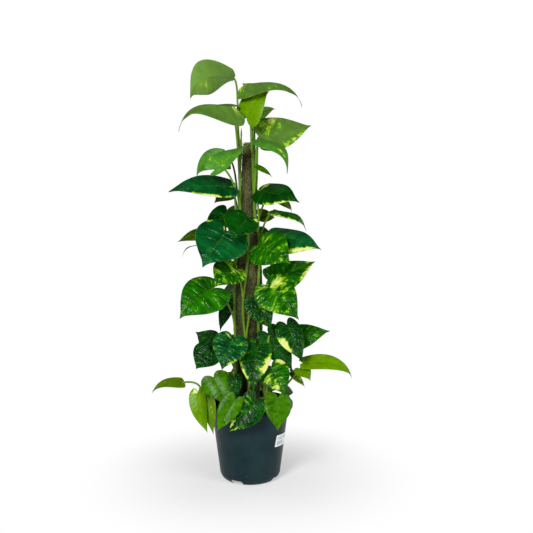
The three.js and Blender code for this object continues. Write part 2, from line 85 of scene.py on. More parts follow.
def add_lights():
    for name, (at, size, watts) in LIGHTS.items():
        light = put(name, bpy.data.lights.new(name, "AREA"))
        light.data.shape = "DISK"
        light.data.size = size
        light.data.energy = watts
        light.location = at
        light.rotation_euler = (LIGHT_AIM - Vector(at)).to_track_quat("-Z", "Y").to_euler()
    world = bpy.data.worlds.new("studio")
    world.use_nodes = True
    sky = world.node_tree.nodes["Background"].inputs
    sky["Color"].default_value = SKY_GREY
    sky["Strength"].default_value = SKY_STRENGTH
    bpy.context.scene.world = world


# ---- Shader nodes
class Value:
    """An output of a node. Sums and products of values add the nodes that work them out."""

    def __init__(self, shader, socket):
        self.shader, self.socket = shader, socket

    def __add__(self, other):
        return self.shader.math("ADD", self, other)

    def __mul__(self, other):
        return self.shader.math("MULTIPLY", self, other)


def maker(kind, *names, **settings):
    """A method of Shader that adds a node of this kind and fills its named inputs in turn."""
    return lambda self, *values: self.node(kind, zip(names, values), **settings)


class Shader:
    """A material's nodes, added one by one. Inputs are numbers, colours or values."""

    bump = maker("Bump", "Height", "Strength", "Distance", "Normal")
    principled = maker("BsdfPrincipled", "Base Color", "Roughness", "Normal", "Specular IOR Level")
    cloud = maker("TexNoise", "Vector", "Scale", "Detail", "Roughness", "Distortion")
    join = maker("MixShader", 0, 1, 2)
    # A value taken smoothly from one range to another.
    step = maker(
        "MapRange", "Value", "From Min", "From Max", "To Min", "To Max", interpolation_type="SMOOTHSTEP"
    )

    def __init__(self, name):
        self.material = bpy.data.materials.new(name)
        self.material.use_nodes = True
        self.tree = self.material.node_tree
        self.tree.nodes.clear()

    def node(self, kind, inputs=(), output=0, **settings):
        """Adds a node and gives one of its outputs, or a list of them all."""
        made = self.tree.nodes.new("ShaderNode" + kind)
        for key, value in settings.items():
            setattr(made, key, value)
        for key, value in dict(inputs).items():
            socket = made.inputs[key]
            if isinstance(value, Value):
                self.tree.links.new(value.socket, socket)
            else:
                socket.default_value = (*value, 1) if socket.type == "RGBA" else value
        if output == "all":
            return [Value(self, socket) for socket in made.outputs]
        return Value(self, made.outputs[output])

    def coordinates(self, kind="Object"):
        return self.node("TexCoord", output=kind)

    def blade(self):
        return self.node("UVMap", uv_map="blade")

    def attribute(self, name, channel="Color"):
        return self.node("Attribute", output=channel, attribute_name=name)

    def parts(self, value, kind="XYZ"):
        return self.node("Separate" + kind, {0: value}, "all")

    def noise(self, vector, scale, detail=4, roughness=0.5, distortion=0.0):
        """scale is one number, or one for each axis."""
        if isinstance(scale, tuple):
            vector = self.node("Mapping", {"Vector": vector, "Scale": scale})
            scale = 1.0
        return self.cloud(vector, scale, detail, roughness, distortion)

    def math(self, operation, a, b=0.0):
        return self.node("Math", {0: a, 1: b}, operation=operation)

    def mix(self, share, a, b, blend="MIX"):
        return self.node("Mix", {0: share, 6: a, 7: b}, 2, data_type="RGBA", blend_type=blend)

    def finish(self, shader):
        self.node("OutputMaterial", {"Surface": shader}, "all")
        return self.material

    def surface(self, *looks):
        return self.finish(self.principled(*looks))


LIME = (0.24, 0.47, 0.010)
CREAM = (0.80, 0.80, 0.26)
BROWN = (0.10, 0.05, 0.015)
BRIGHT_GREEN = (0.06, 0.29, 0.006)
BACK_TINT = (0.10, 0.19, 0.035)
STRIPE_GREEN = (0.20, 0.40, 0.02)
VEINS = 9.0  # lateral veins on each side of a leaf


def leaf_material(name, underside):
    """Pothos leaf: its green from one attribute, its marks from another, streaks along the veins."""
    s = Shader(name)
    across, from_rib, _ = s.parts(s.blade())
    green = s.attribute("green")
    paler = s.parts(green, "Color")[0]
    amount, patch, dried = s.parts(s.attribute("marks"), "Color")
    seed = s.attribute("marks", "Alpha") * 40.0
    place = s.node("CombineXYZ", {0: across, 1: from_rib, 2: seed})
    broad = s.noise(place, (4.5, 0.9, 1), 2, 0.5, 0.3)
    streak = s.noise(place, (17, 1.3, 1), 4, 0.55, 0.5)
    fine = s.noise(place, (60, 6, 1), 4, 0.6, 0.4)
    wrinkle = s.noise(place, (20, 6, 1), 1, 0.4, 0.8)
    grain = s.noise(s.coordinates(), 900, 3, 0.6)

    # Greens run lighter and darker along the veins, most on the dark leaves.
    mottle = s.step(s.mix(0.4, streak, broad), 0.34, 0.66, -1.0, 1.0)
    shade = mottle * s.step(paler, 0.02, 0.08, 0.52, 0.18) + 1.0
    toned = s.mix(1.0, green, s.node("CombineColor", {0: shade, 1: shade, 2: shade}), "MULTIPLY")
    lighter = s.mix(0.4, green, LIME)
    toned = s.mix(s.step(from_rib, 0.0, 0.045, 0.22, 0.0), toned, lighter)

    # Lateral veins as fine lines that fade towards the edge.
    turns = across * VEINS
    off_vein = s.math("ABSOLUTE", s.math("FRACT", turns) + -0.5)
    vein = s.step(off_vein, 0.0, 0.12, 1.0, 0.0) * s.step(from_rib, 0.25, 0.95, 1.0, 0.0)
    toned = s.mix(vein * 0.05, toned, lighter)

    # Variegation: streaks, flecks and whole sectors, bright green at their rims, then lime, cream inside.
    spread = streak * 0.5 + fine * 0.28 + broad * 0.22 + patch * 0.3 + amount * 0.17
    bright = s.step(spread, 0.575, 0.645) * s.step(amount, 0.05, 0.3, 0.25, 0.75)
    colour = s.mix(bright, toned, s.mix(0.25, toned, BRIGHT_GREEN))
    colour = s.mix(s.step(spread, 0.648, 0.675), colour, LIME)
    colour = s.mix(s.step(spread, 0.70, 0.76, 0.0, 0.8), colour, CREAM)
    rim = s.step(from_rib, 0.97, 1.0) * s.step(streak, 0.4, 0.65, 0.05, 0.6)
    colour = s.mix(rim, colour, LIME)
    colour = s.mix(s.step(dried + fine * 0.3, 0.55, 0.7), colour, BROWN)

    # Two ridges to a vein, with blisters between them, flatter on the pale leaves.
    ridge = s.math("COSINE", (turns + broad * 0.6) * (2 * TURN)) * s.step(from_rib, 0.1, 0.5)
    relief = fine * 0.1 + ridge * 0.12 + vein * -0.35 + wrinkle * s.step(paler, 0.012, 0.06, 0.75, 0.1)
    relief = relief * s.step(paler, 0.010, 0.034, 1.0, 0.25)
    normal = s.bump(grain, 0.05, 0.0003, s.bump(relief, 0.9, 0.0024))
    if underside:
        colour = s.mix(0.4, colour, BACK_TINT)
        rough = s.step(streak, 0.3, 0.7, 0.48, 0.6)
        gloss = 0.06
    else:
        rough = s.step(paler, 0.008, 0.05, 0.10, 0.22)
        gloss = s.step(paler, 0.008, 0.034, 0.13, 0.07)
    body = s.principled(colour, rough, normal, gloss)
    through = s.node("BsdfTranslucent", {"Color": s.mix(0.35, colour, LIME), "Normal": normal})
    return s.finish(s.join(0.1, body, through))


def stalk_material():
    """Leaf stalks and stems: green in long pale stripes, with brown where the marks attribute says."""
    s = Shader("stalk")
    stripe = s.noise(s.blade(), (9, 14, 1), 4, 0.6)
    spots = s.noise(s.coordinates(), 260, 3, 0.6)
    brown = s.parts(s.attribute("marks"), "Color")[2]
    green = s.attribute("green")
    colour = s.mix(s.step(stripe, 0.38, 0.66), green, s.mix(0.3, green, STRIPE_GREEN))
    colour = s.mix(s.step(brown + spots * 0.5, 0.6, 0.85), colour, BROWN)
    return s.surface(colour, s.step(spots, 0.3, 0.7, 0.36, 0.5), s.bump(stripe, 0.35, 0.0006), 0.15)


def bark_material(name, noise, span, dark, light, rough, relief):
    """Two browns and a relief from one noise, for roots and wood."""
    s = Shader(name)
    grain = s.noise(s.coordinates(), *noise)
    return s.surface(s.mix(s.step(grain, *span), dark, light), rough, s.bump(grain, relief, 0.001))


def coir_material(name, dark, light, red):
    """Matted coconut fibre: crossing strands, rusty patches, and painted shade that darkens it low down."""
    s = Shader(name)
    where = s.coordinates()
    along = s.noise(where, (420, 420, 90), 5, 0.7, 1.2)
    across = s.noise(where, (160, 160, 520), 4, 0.7, 0.8)
    fibre = s.math("MAXIMUM", along, across * 0.96)
    colour = s.mix(s.step(fibre, 0.44, 0.70), dark, light)
    colour = s.mix(s.step(s.noise(where, 26, 4, 0.6), 0.48, 0.66, 0.0, 0.4), colour, red)
    # Painted shade: below 0.6 m the coir turns towards its dark brown, most below 0.3 m.
    colour = s.mix(s.step(s.parts(where)[2], 0.30, 0.60, 0.95, 0.0), colour, dark)
    return s.surface(colour, 0.95, s.bump(fibre, 1.0, 0.004), 0.15)


def soil_material(name, dark, light):
    s = Shader(name)
    where = s.coordinates()
    crumb = s.noise(where, 420, 6, 0.7)
    damp = s.noise(where, 30, 3)
    colour = s.mix(s.step(crumb, 0.35, 0.68), dark, light)
    colour = s.mix(s.step(damp, 0.4, 0.65, 0.0, 0.5), colour, dark)
    return s.surface(colour, s.step(damp, 0.4, 0.65, 0.95, 0.75), s.bump(crumb, 0.9, 0.002))


def pot_material():
    """Satin black-blue plastic with orange peel, faint scuffs and dried splashes near the foot."""
    s = Shader("pot_plastic")
    where = s.coordinates()
    peel = s.noise(where, 900, 2, 0.5)
    cloud = s.noise(where, 14, 4, 0.6)
    scuff = s.noise(where, (60, 60, 420), 5, 0.7, 0.5)
    splash = s.noise(where, 120, 5, 0.7)
    colour = s.mix(s.step(cloud, 0.35, 0.7), (0.0045, 0.018, 0.022), (0.0090, 0.027, 0.032))
    colour = s.mix(s.step(scuff, 0.66, 0.78, 0.0, 0.35), colour, (0.07, 0.085, 0.09))
    dirt = s.step(splash, 0.56, 0.68) * s.step(s.parts(where)[2], 0.0, 0.07, 0.3, 0.0)
    colour = s.mix(dirt, colour, (0.12, 0.10, 0.08))
    normal = s.bump(scuff, 0.08, 0.0004, s.bump(peel, 0.12, 0.0003))
    return s.surface(colour, s.step(cloud, 0.35, 0.7, 0.36, 0.5), normal, 0.12)


def label_material():
    """White paper sticker with plain grey bars."""
    s = Shader("label_paper")
    x, y, _ = s.parts(s.coordinates("UV"))

    def within(value, low, high, soft=0.004):
        return s.step(value, low - soft, low + soft) * s.step(value, high - soft, high + soft, 1.0, 0.0)

    ink = 0.0
    for left, right, low, high in LABEL_BARS:
        ink = s.math("MAXIMUM", within(x, left, right) * within(y, low, high), ink)
    fibre = s.noise(s.coordinates(), 700, 3, 0.6)
    paper = s.mix(fibre, (0.66, 0.70, 0.72), (0.80, 0.83, 0.85))
    return s.surface(s.mix(ink * 0.8, paper, (0.22, 0.24, 0.27)), 0.55, s.bump(fibre, 0.1, 0.0002))


def white_material(name, floor):
    """White that gives its own light, and for the floor a pale patch under the pot that takes its shadow."""
    s = Shader(name)
    white = s.node("Emission", {"Color": (1, 1, 1)})
    if not floor:
        return s.finish(white)
    where = s.coordinates()
    grain = s.noise(where, 60, 2)
    pale = s.principled(s.mix(grain, (0.90, 0.90, 0.90), (0.93, 0.93, 0.93)), 0.9)
    x, y, _ = s.parts(where)
    reach = s.math("SQRT", x * x + y * y)
    return s.finish(s.join(s.step(reach, 0.10, 0.50, 0.4, 1.0), pale, white))


# ---- Mesh building
class Shape:
    """Points and faces gathered for one mesh, with what each point says to its material."""

    def __init__(self):
        self.points, self.faces, self.slots = [], [], []
        self.uvs, self.greens, self.marks = [], [], []
        self.count = 0

    def add(self, points, faces, slot=0, uvs=None, green=(0, 0, 0), marks=(0, 0, 0, 0)):
        """Points are in millimetres, and faces index them. uvs has a pair for each corner of each face."""
        size = len(points)
        self.points.append(np.asarray(points, float) * MM)
        self.faces.extend(tuple(i + self.count for i in face) for face in faces)
        self.slots.extend([slot] * len(faces))
        corners = sum(len(face) for face in faces)
        self.uvs.append(np.zeros((corners, 2)) if uvs is None else np.asarray(uvs, float))
        self.greens.append(np.broadcast_to([*green, 1], (size, 4)))
        self.marks.append(np.broadcast_to(np.asarray(marks, float), (size, 4)))
        self.count += size

    def build(self, name, materials, smooth=True):
        mesh = bpy.data.meshes.new(name)
        mesh.from_pydata(np.concatenate(self.points).tolist(), [], self.faces)
        mesh.polygons.foreach_set("material_index", self.slots)
        mesh.polygons.foreach_set("use_smooth", [smooth] * len(self.faces))
        layer = mesh.uv_layers.new(name="blade")
        layer.data.foreach_set("uv", np.concatenate(self.uvs).astype(np.float32).ravel())
        for title, rows in (("green", self.greens), ("marks", self.marks)):
            attribute = mesh.attributes.new(title, "FLOAT_COLOR", "POINT")
            attribute.data.foreach_set("color", np.concatenate(rows).astype(np.float32).ravel())
        for material in materials:
            mesh.materials.append(material)
        mesh.update()
        return put(name, mesh)


def solid(name, material, points, faces):
    mesh = bpy.data.meshes.new(name)
    mesh.from_pydata([tuple(c * MM for c in p) for p in points], [], faces)
    mesh.validate()
    mesh.materials.append(material)
    return put(name, mesh)


def dress(piece, node):
    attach(piece, "root")
    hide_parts(node)


def unit(v):
    return v / norm(v)


def smoothstep(x):
    x = np.clip(x, 0, 1)
    return x * x * (3 - 2 * x)


def catmull(points, at):
    """Uniform Catmull-Rom through points, read at shares of a whole number of spans."""
    points = np.asarray(points, float)
    padded = np.vstack([2 * points[0] - points[1], points, 2 * points[-1] - points[-2]])
    span = np.clip(np.floor(at).astype(int), 0, len(points) - 2)
    t = (at - span)[:, None]
    a, b, c, d = (padded[span + k] for k in range(4))
    return 0.5 * (2 * b + (c - a) * t + (2 * a - 5 * b + 4 * c - d) * t**2 + (3 * b - a - 3 * c + d) * t**3)


def centripetal(points, share):
    """A point on a centripetal Catmull-Rom curve, each span taking the same part of share."""
    points = np.asarray(points, float)
    span = min(int(share * (len(points) - 1)), len(points) - 2)
    t = share * (len(points) - 1) - span
    p1, p2 = points[span], points[span + 1]
    p0 = points[span - 1] if span else 2 * p1 - p2
    p3 = points[span + 2] if span + 2 < len(points) else 2 * p2 - p1
    d0, d1, d2 = (max(norm(q - p) ** 0.5, 1e-4) for p, q in ((p0, p1), (p1, p2), (p2, p3)))
    m1 = ((p1 - p0) / d0 - (p2 - p0) / (d0 + d1) + (p2 - p1) / d1) * d1
    m2 = ((p2 - p1) / d1 - (p3 - p1) / (d1 + d2) + (p3 - p2) / d2) * d1
    return p1 + m1 * t + (3 * (p2 - p1) - 2 * m1 - m2) * t**2 + (2 * (p1 - p2) + m1 + m2) * t**3


def sweep(path, radii, sides, ridge=None):
    """A closed tube round path. radii is one for each point; ridge(angles, i) scales them round the tube.
    Angle 0 looks up where it can. Returns points, faces and corner UVs."""
    path = np.asarray(path, float)
    ahead = np.gradient(path, axis=0)
    ahead /= norm(ahead, axis=1)[:, None]
    across = np.cross(ahead[0], UP if abs(ahead[0][2]) < 0.95 else np.array([0.0, -1.0, 0.0]))
    angles = np.linspace(0, TURN, sides, endpoint=False)
    run = np.concatenate([[0], np.cumsum(norm(np.diff(path, axis=0), axis=1))]) * MM
    points = []
    for i, centre in enumerate(path):
        across = unit(across - ahead[i] * np.dot(across, ahead[i]))
        top = np.cross(across, ahead[i])
        scale = ridge(angles, i) if ridge else np.ones(sides)
        ring = np.outer(np.cos(angles), top) + np.outer(np.sin(angles), across)
        points.append(centre + ring * (radii[i] * scale)[:, None])
    faces, uvs = [], []
    for i, j in product(range(len(path) - 1), range(sides)):
        this, other = i * sides + j, i * sides + (j + 1) % sides
        faces.append((this, this + sides, other + sides, other))
        left, right = j / sides, (j + 1) / sides
        uvs += [(left, run[i]), (left, run[i + 1]), (right, run[i + 1]), (right, run[i])]
    last = (len(path) - 1) * sides
    faces += [tuple(range(sides)), tuple(range(last + sides - 1, last - 1, -1))]
    uvs += [(0, run[0])] * sides + [(0, run[-1])] * sides
    return np.concatenate(points), faces, np.asarray(uvs)


def circle(sides, radius, z, middle=0.0):
    """Points from the front round towards +X. radius may be a function of the angle."""
    turned = [TURN * j / sides for j in range(sides)]
    radii = [radius(a) if callable(radius) else radius for a in turned]
    return [(middle + r * sin(a), -r * cos(a), z) for r, a in zip(radii, turned)]


def bands(starts, sides):
    """Faces between rings of points, given the first point of each ring."""
    faces = []
    for (low, high), j in product(zip(starts, starts[1:]), range(sides)):
        k = (j + 1) % sides
        faces.append((low + j, low + k, high + k, high + j))
    return faces


def lathe(profile, sides, middle=0.0):
    """A solid turned about +Z from [radius, height] points whose first and last lie on the axis."""
    points = [(middle, 0, profile[0][1])]
    for r, z in profile[1:-1]:
        points += circle(sides, r, z, middle)
    points.append((middle, 0, profile[-1][1]))
    faces = []
    end = len(points) - 1
    top = end - sides
    for j in range(sides):
        k = (j + 1) % sides
        faces.append((0, 1 + k, 1 + j))
        for low in range(1, top, sides):
            high = low + sides
            faces.append((low + j, low + k, high + k, high + j))
        faces.append((top + j, top + k, end))
    return points, faces


def arc(centre, radius, start, end, steps):
    """Points of a round corner in a profile, angles in degrees."""
    turn = [radians(start + (end - start) * i / steps) for i in range(steps + 1)]
    return [(centre[0] + radius * cos(a), centre[1] + radius * sin(a)) for a in turn]


# ---- Pot, soil, label and pole
POT_HEIGHT = 214
RIM_RADIUS = 119
RIM_DEPTH = 13
RIM_INNER = 110
WALL = 2.5
WALL_TOP = 107
WALL_FOOT = 84
FOOT_CORNER = 16
FOOT_RADIUS = 72
FLOOR_RISE = 13  # underside of the raised floor
BOSS_RADIUS = 30  # flat middle that comes down to the ground
NOTCH = (36, 32, 25)  # drain slot cutter: width, depth, twice the slot's height
NOTCH_AZIMUTHS = (-28, 62, 152, 242)
DRAIN_RADIUS = 6
DRAIN_COUNT = 6
DRAIN_CIRCLE = 56
POT_SIDES = 144
SOIL_TOP = 188
SOIL_MOUND = 7
SOIL_RINGS = 60
SOIL_SIDES = 180
CRUMBS = 1500
SOIL_SEED = 23
SOIL_GAP = 0.6  # between the mix and the pot's wall
STEM_DEPTH = 26  # how far below the soil's edge a stem is drawn
POLE_X = -5
CORE_RADIUS = 9
CORE_FOOT = 8
CORE_TOP = 928
CORE_GAP = 0.9  # between the stake and the coir
CORE_SIDES = 40
CORE_ROWS = 90
CORE_SEED = 5
COIR_PROFILE = (
    # height, radius
    (60, 31),
    (300, 33),
    (600, 32),
    (670, 28),
    (735, 17),
    (850, 16),
    (924, 12),
)
COIR_ROWS = 300
COIR_COLUMNS = 72
FIBRES = 2600
COIR_SEED = 11
LABEL = {"width": 60, "height": 33, "azimuth": 63, "low": 103, "tilt": radians(5)}
LABEL_COLUMNS = 40
LABEL_ROWS = 22
LABEL_LAYERS = (0.5, 1.0)  # back and front of the paper, off the pot's wall
LABEL_CORNER = 2.0
UPRIGHTS = ((0.12, 0.20), (0.23, 0.26), (0.29, 0.36), (0.39, 0.42), (0.45, 0.54))
LABEL_BARS = (
    # left, right, low, high, as shares of the sticker
    (0.10, 0.62, 0.74, 0.80),
    (0.10, 0.50, 0.62, 0.67),
    *((left, right, 0.16, 0.48) for left, right in UPRIGHTS),
    (0.68, 0.88, 0.60, 0.80),
)


def around(azimuth, radius, z):
    """A point by its angle from the front towards +X, in degrees, its distance from the axis and height."""
    a = radians(azimuth)
    return np.array([radius * sin(a), -radius * cos(a), z])


def wall_radius(z):
    share = (z - FOOT_CORNER) / (POT_HEIGHT - RIM_DEPTH - FOOT_CORNER)
    return WALL_FOOT + share * (WALL_TOP - WALL_FOOT)


def pole_radius(z):
    heights, radii = zip(*COIR_PROFILE)
    return float(np.interp(z, heights, radii))


def cut(piece, cutters):
    """Takes the cutters out of the piece for good."""
    for cutter in cutters:
        modifier = piece.modifiers.new("cut", "BOOLEAN")
        modifier.operation = "DIFFERENCE"
        modifier.solver = "EXACT"
        modifier.object = cutter
    depsgraph = bpy.context.evaluated_depsgraph_get()
    mesh = bpy.data.meshes.new_from_object(piece.evaluated_get(depsgraph))
    piece.modifiers.clear()
    piece.data = mesh
    for cutter in cutters:
        bpy.data.objects.remove(cutter)


def shade_by_angle(piece, degrees):
    """Smooth faces with sharp edges where the surface turns by more than this."""
    made = bmesh.new()
    made.from_mesh(piece.data)
    for face in made.faces:
        face.smooth = True
    for edge in made.edges:
        edge.smooth = len(edge.link_faces) == 2 and edge.calc_face_angle(0) < radians(degrees)
    made.to_mesh(piece.data)
    made.free()


def pot_cutters():
    cutters = []
    for azimuth in NOTCH_AZIMUTHS:
        bpy.ops.mesh.primitive_cube_add(size=1)
        cutter = bpy.context.object
        block = bmesh.new()
        block.from_mesh(cutter.data)
        bmesh.ops.scale(block, vec=Vector(NOTCH) * MM, verts=block.verts)
        bmesh.ops.bevel(block, geom=block.edges[:], offset=3 * MM, segments=3, affect="EDGES")
        block.to_mesh(cutter.data)
        block.free()
        cutter.location = around(azimuth, FOOT_RADIUS + 12, 0) * MM
        cutter.rotation_euler = (0, 0, radians(azimuth))
        cutters.append(cutter)
    for i in range(DRAIN_COUNT):
        bpy.ops.mesh.primitive_cylinder_add(vertices=32, radius=DRAIN_RADIUS * MM, depth=4 * WALL * MM)
        cutter = bpy.context.object
        cutter.location = around(360 / DRAIN_COUNT * i, DRAIN_CIRCLE, FLOOR_RISE + WALL / 2) * MM
        cutters.append(cutter)
    return cutters


def make_pot():
    shoulder = POT_HEIGHT - RIM_DEPTH
    low_corner = FOOT_CORNER * 0.35
    foot = [(FOOT_RADIUS, 0.3), (FOOT_RADIUS + 7, low_corner), (WALL_FOOT, FOOT_CORNER)]
    profile = [
        (0, 0),
        (BOSS_RADIUS, 0),
        (BOSS_RADIUS + 12, FLOOR_RISE),
        (WALL_FOOT - WALL - 1.5, FLOOR_RISE),
        (FOOT_RADIUS + 7 - WALL, low_corner),
        (FOOT_RADIUS - WALL, 0),
        (FOOT_RADIUS - 1, 0),
        *catmull(foot, np.linspace(0, 2, 9)).tolist(),
        *((wall_radius(z), z) for z in np.linspace(FOOT_CORNER + 2, shoulder - 2, 8)),
        (WALL_TOP + 0.6, shoulder),
        (RIM_RADIUS - 3, shoulder),
        *arc((RIM_RADIUS - 2.6, shoulder + 2.6), 2.6, -80, 0, 4),
        *arc((RIM_RADIUS - 2.8, POT_HEIGHT - 2.8), 2.8, 0, 90, 5),
        *arc((RIM_INNER + 1.6, POT_HEIGHT - 1.6), 1.6, 95, 170, 4),
        *((wall_radius(z) - WALL, z) for z in np.linspace(shoulder - 4, FOOT_CORNER + 6, 6)),
        (WALL_FOOT - WALL, FOOT_CORNER),
        (WALL_FOOT - WALL - 2, FLOOR_RISE + WALL),
        (BOSS_RADIUS + 11, FLOOR_RISE + WALL),
        (BOSS_RADIUS - 1, WALL),
        (0, WALL),
    ]
    pot = solid("nursery_pot", pot_material(), *lathe(profile, POT_SIDES))
    cut(pot, pot_cutters())
    shade_by_angle(pot, 38)
    dress(pot, "pot")


def label_point(off, j, i):
    """A point of the sticker, which lies round the pot's wall and lifts a little at its lower right."""
    width, height, tilt = LABEL["width"], LABEL["height"], LABEL["tilt"]
    x = width * (i / LABEL_COLUMNS - 0.5)
    y = height * (j / LABEL_ROWS - 0.5)
    over_x = max(abs(x) - (width / 2 - LABEL_CORNER), 0)
    over_y = max(abs(y) - (height / 2 - LABEL_CORNER), 0)
    if over_x and over_y:  # corners pulled in to a round
        reach = max(over_x, over_y) / hypot(over_x, over_y)
        x -= copysign(over_x * (1 - reach), x)
        y -= copysign(over_y * (1 - reach), y)
    along = x * cos(tilt) + y * sin(tilt)
    z = LABEL["low"] + height / 2 + y * cos(tilt) - x * sin(tilt)
    lift = 0.9 * smoothstep((x - width * 0.36) / (width * 0.14)) * smoothstep((-y) / (height / 2))
    return around(LABEL["azimuth"] + degrees(along / wall_radius(z)), wall_radius(z) + off + lift, z)


def make_label():
    rows, columns = LABEL_ROWS, LABEL_COLUMNS
    blank = [(0.02, 0.02)] * 4  # a place on the sticker with no ink
    index = np.arange(2 * (rows + 1) * (columns + 1)).reshape(2, rows + 1, columns + 1)
    points = [label_point(*spot) for spot in product(LABEL_LAYERS, range(rows + 1), range(columns + 1))]
    faces, uvs = [], []
    for j, i in product(range(rows), range(columns)):
        square = [(j, i), (j, i + 1), (j + 1, i + 1), (j + 1, i)]
        faces.append(tuple(index[1][c] for c in square))
        faces.append(tuple(index[0][c] for c in reversed(square)))
        uvs += [(c[1] / columns, c[0] / rows) for c in square] + blank
    rim = [(0, i) for i in range(columns)] + [(j, columns) for j in range(rows)]
    rim += [(rows, i) for i in range(columns, 0, -1)] + [(j, 0) for j in range(rows, 0, -1)]
    for a, b in zip(rim, rim[1:] + rim[:1]):
        faces.append((index[0][a], index[0][b], index[1][b], index[1][a]))
        uvs += blank
    shape = Shape()
    shape.add(points, faces, 0, uvs)
    label = shape.build("sticker", [label_material()])
    shade_by_angle(label, 40)
    dress(label, "label")


def make_core():
    rng = random.Random(CORE_SEED)
    side = np.linspace(CORE_FOOT + 1, CORE_TOP - 2, CORE_ROWS)
    profile = [(0, CORE_FOOT), (CORE_RADIUS - 0.6, CORE_FOOT)]
    profile += [(CORE_RADIUS - 0.25 + 0.25 * rng.random(), z) for z in side]
    profile += [(CORE_RADIUS - 0.4, CORE_TOP - 0.8), (CORE_RADIUS - 1.2, CORE_TOP)]
    profile += [(4, CORE_TOP - 0.3), (0, CORE_TOP - 0.3)]
    grain = ((300, 300, 18), 5, 0.65, 0.6)
    wood = bark_material("stake_wood", grain, (0.3, 0.7), (0.13, 0.075, 0.035), (0.36, 0.24, 0.12), 0.8, 0.5)
    core = solid("stake", wood, *lathe(profile, CORE_SIDES, POLE_X))
    shade_by_angle(core, 35)
    dress(core, "pole_core")


def make_coir():
    """The matted sleeve, then loose fibres that lie over it and stand off it a little."""
    low, high = COIR_PROFILE[0][0], COIR_PROFILE[-1][0]
    bore = CORE_RADIUS + CORE_GAP
    points = []
    for z in np.linspace(low, high, COIR_ROWS + 1):

        def lumpy(a):
            lump = noise.fractal(Vector((sin(a) * 1.6, -cos(a) * 1.6, z / 42)), 0.9, 2.1, 4)
            string = noise.noise(Vector((a * 9 + z / 22, z / 9, 3.0)))
            return pole_radius(z) - 0.8 + 1.6 * lump + 0.9 * string

        points += circle(COIR_COLUMNS, lumpy, z, POLE_X)
    points += circle(COIR_COLUMNS, bore, high, POLE_X) + circle(COIR_COLUMNS, bore, low, POLE_X)
    shape = Shape()
    shape.add(points, bands([*range(0, len(points), COIR_COLUMNS), 0], COIR_COLUMNS))
    rng = random.Random(COIR_SEED)
    for _ in range(FIBRES):
        z = rng.uniform(SOIL_TOP - 20, high - 6)
        a = rng.uniform(0, TURN)
        slope = rng.gauss(0, 0.9)
        length = rng.uniform(12, 46)
        lift = rng.uniform(0.2, 2.0) + (rng.random() < 0.08) * rng.uniform(2, 6)
        bend = rng.uniform(-0.5, 0.5)
        path = []
        for t in np.linspace(0, 1, 6):
            way = (t - 0.5) * length
            up = z + way * cos(slope) * 0.8
            turn = a + (way * sin(slope) + bend * length * (t - 0.5) ** 2 * 4) / max(pole_radius(up), 10)
            off = pole_radius(up) - 0.6 + lift * sin(pi * t) ** 0.8
            path.append((POLE_X + off * sin(turn), -off * cos(turn), min(up, high + 3)))
        thick = rng.uniform(0.16, 0.42)
        tube, faces, uvs = sweep(path, [thick * f for f in (0.4, 1, 1, 1, 0.9, 0.3)], 3)
        shape.add(tube, faces, rng.choice((1, 1, 2)), uvs)
    mats = [
        coir_material("coir_mat", (0.026, 0.030, 0.010), (0.230, 0.245, 0.090), (0.150, 0.115, 0.036)),
        coir_material("coir_fibre", (0.065, 0.068, 0.024), (0.290, 0.290, 0.110), (0.20, 0.14, 0.05)),
        coir_material("coir_fibre_pale", (0.110, 0.110, 0.042), (0.380, 0.360, 0.160), (0.26, 0.20, 0.08)),
    ]
    dress(shape.build("coir_sleeve", mats), "coir_wrap")


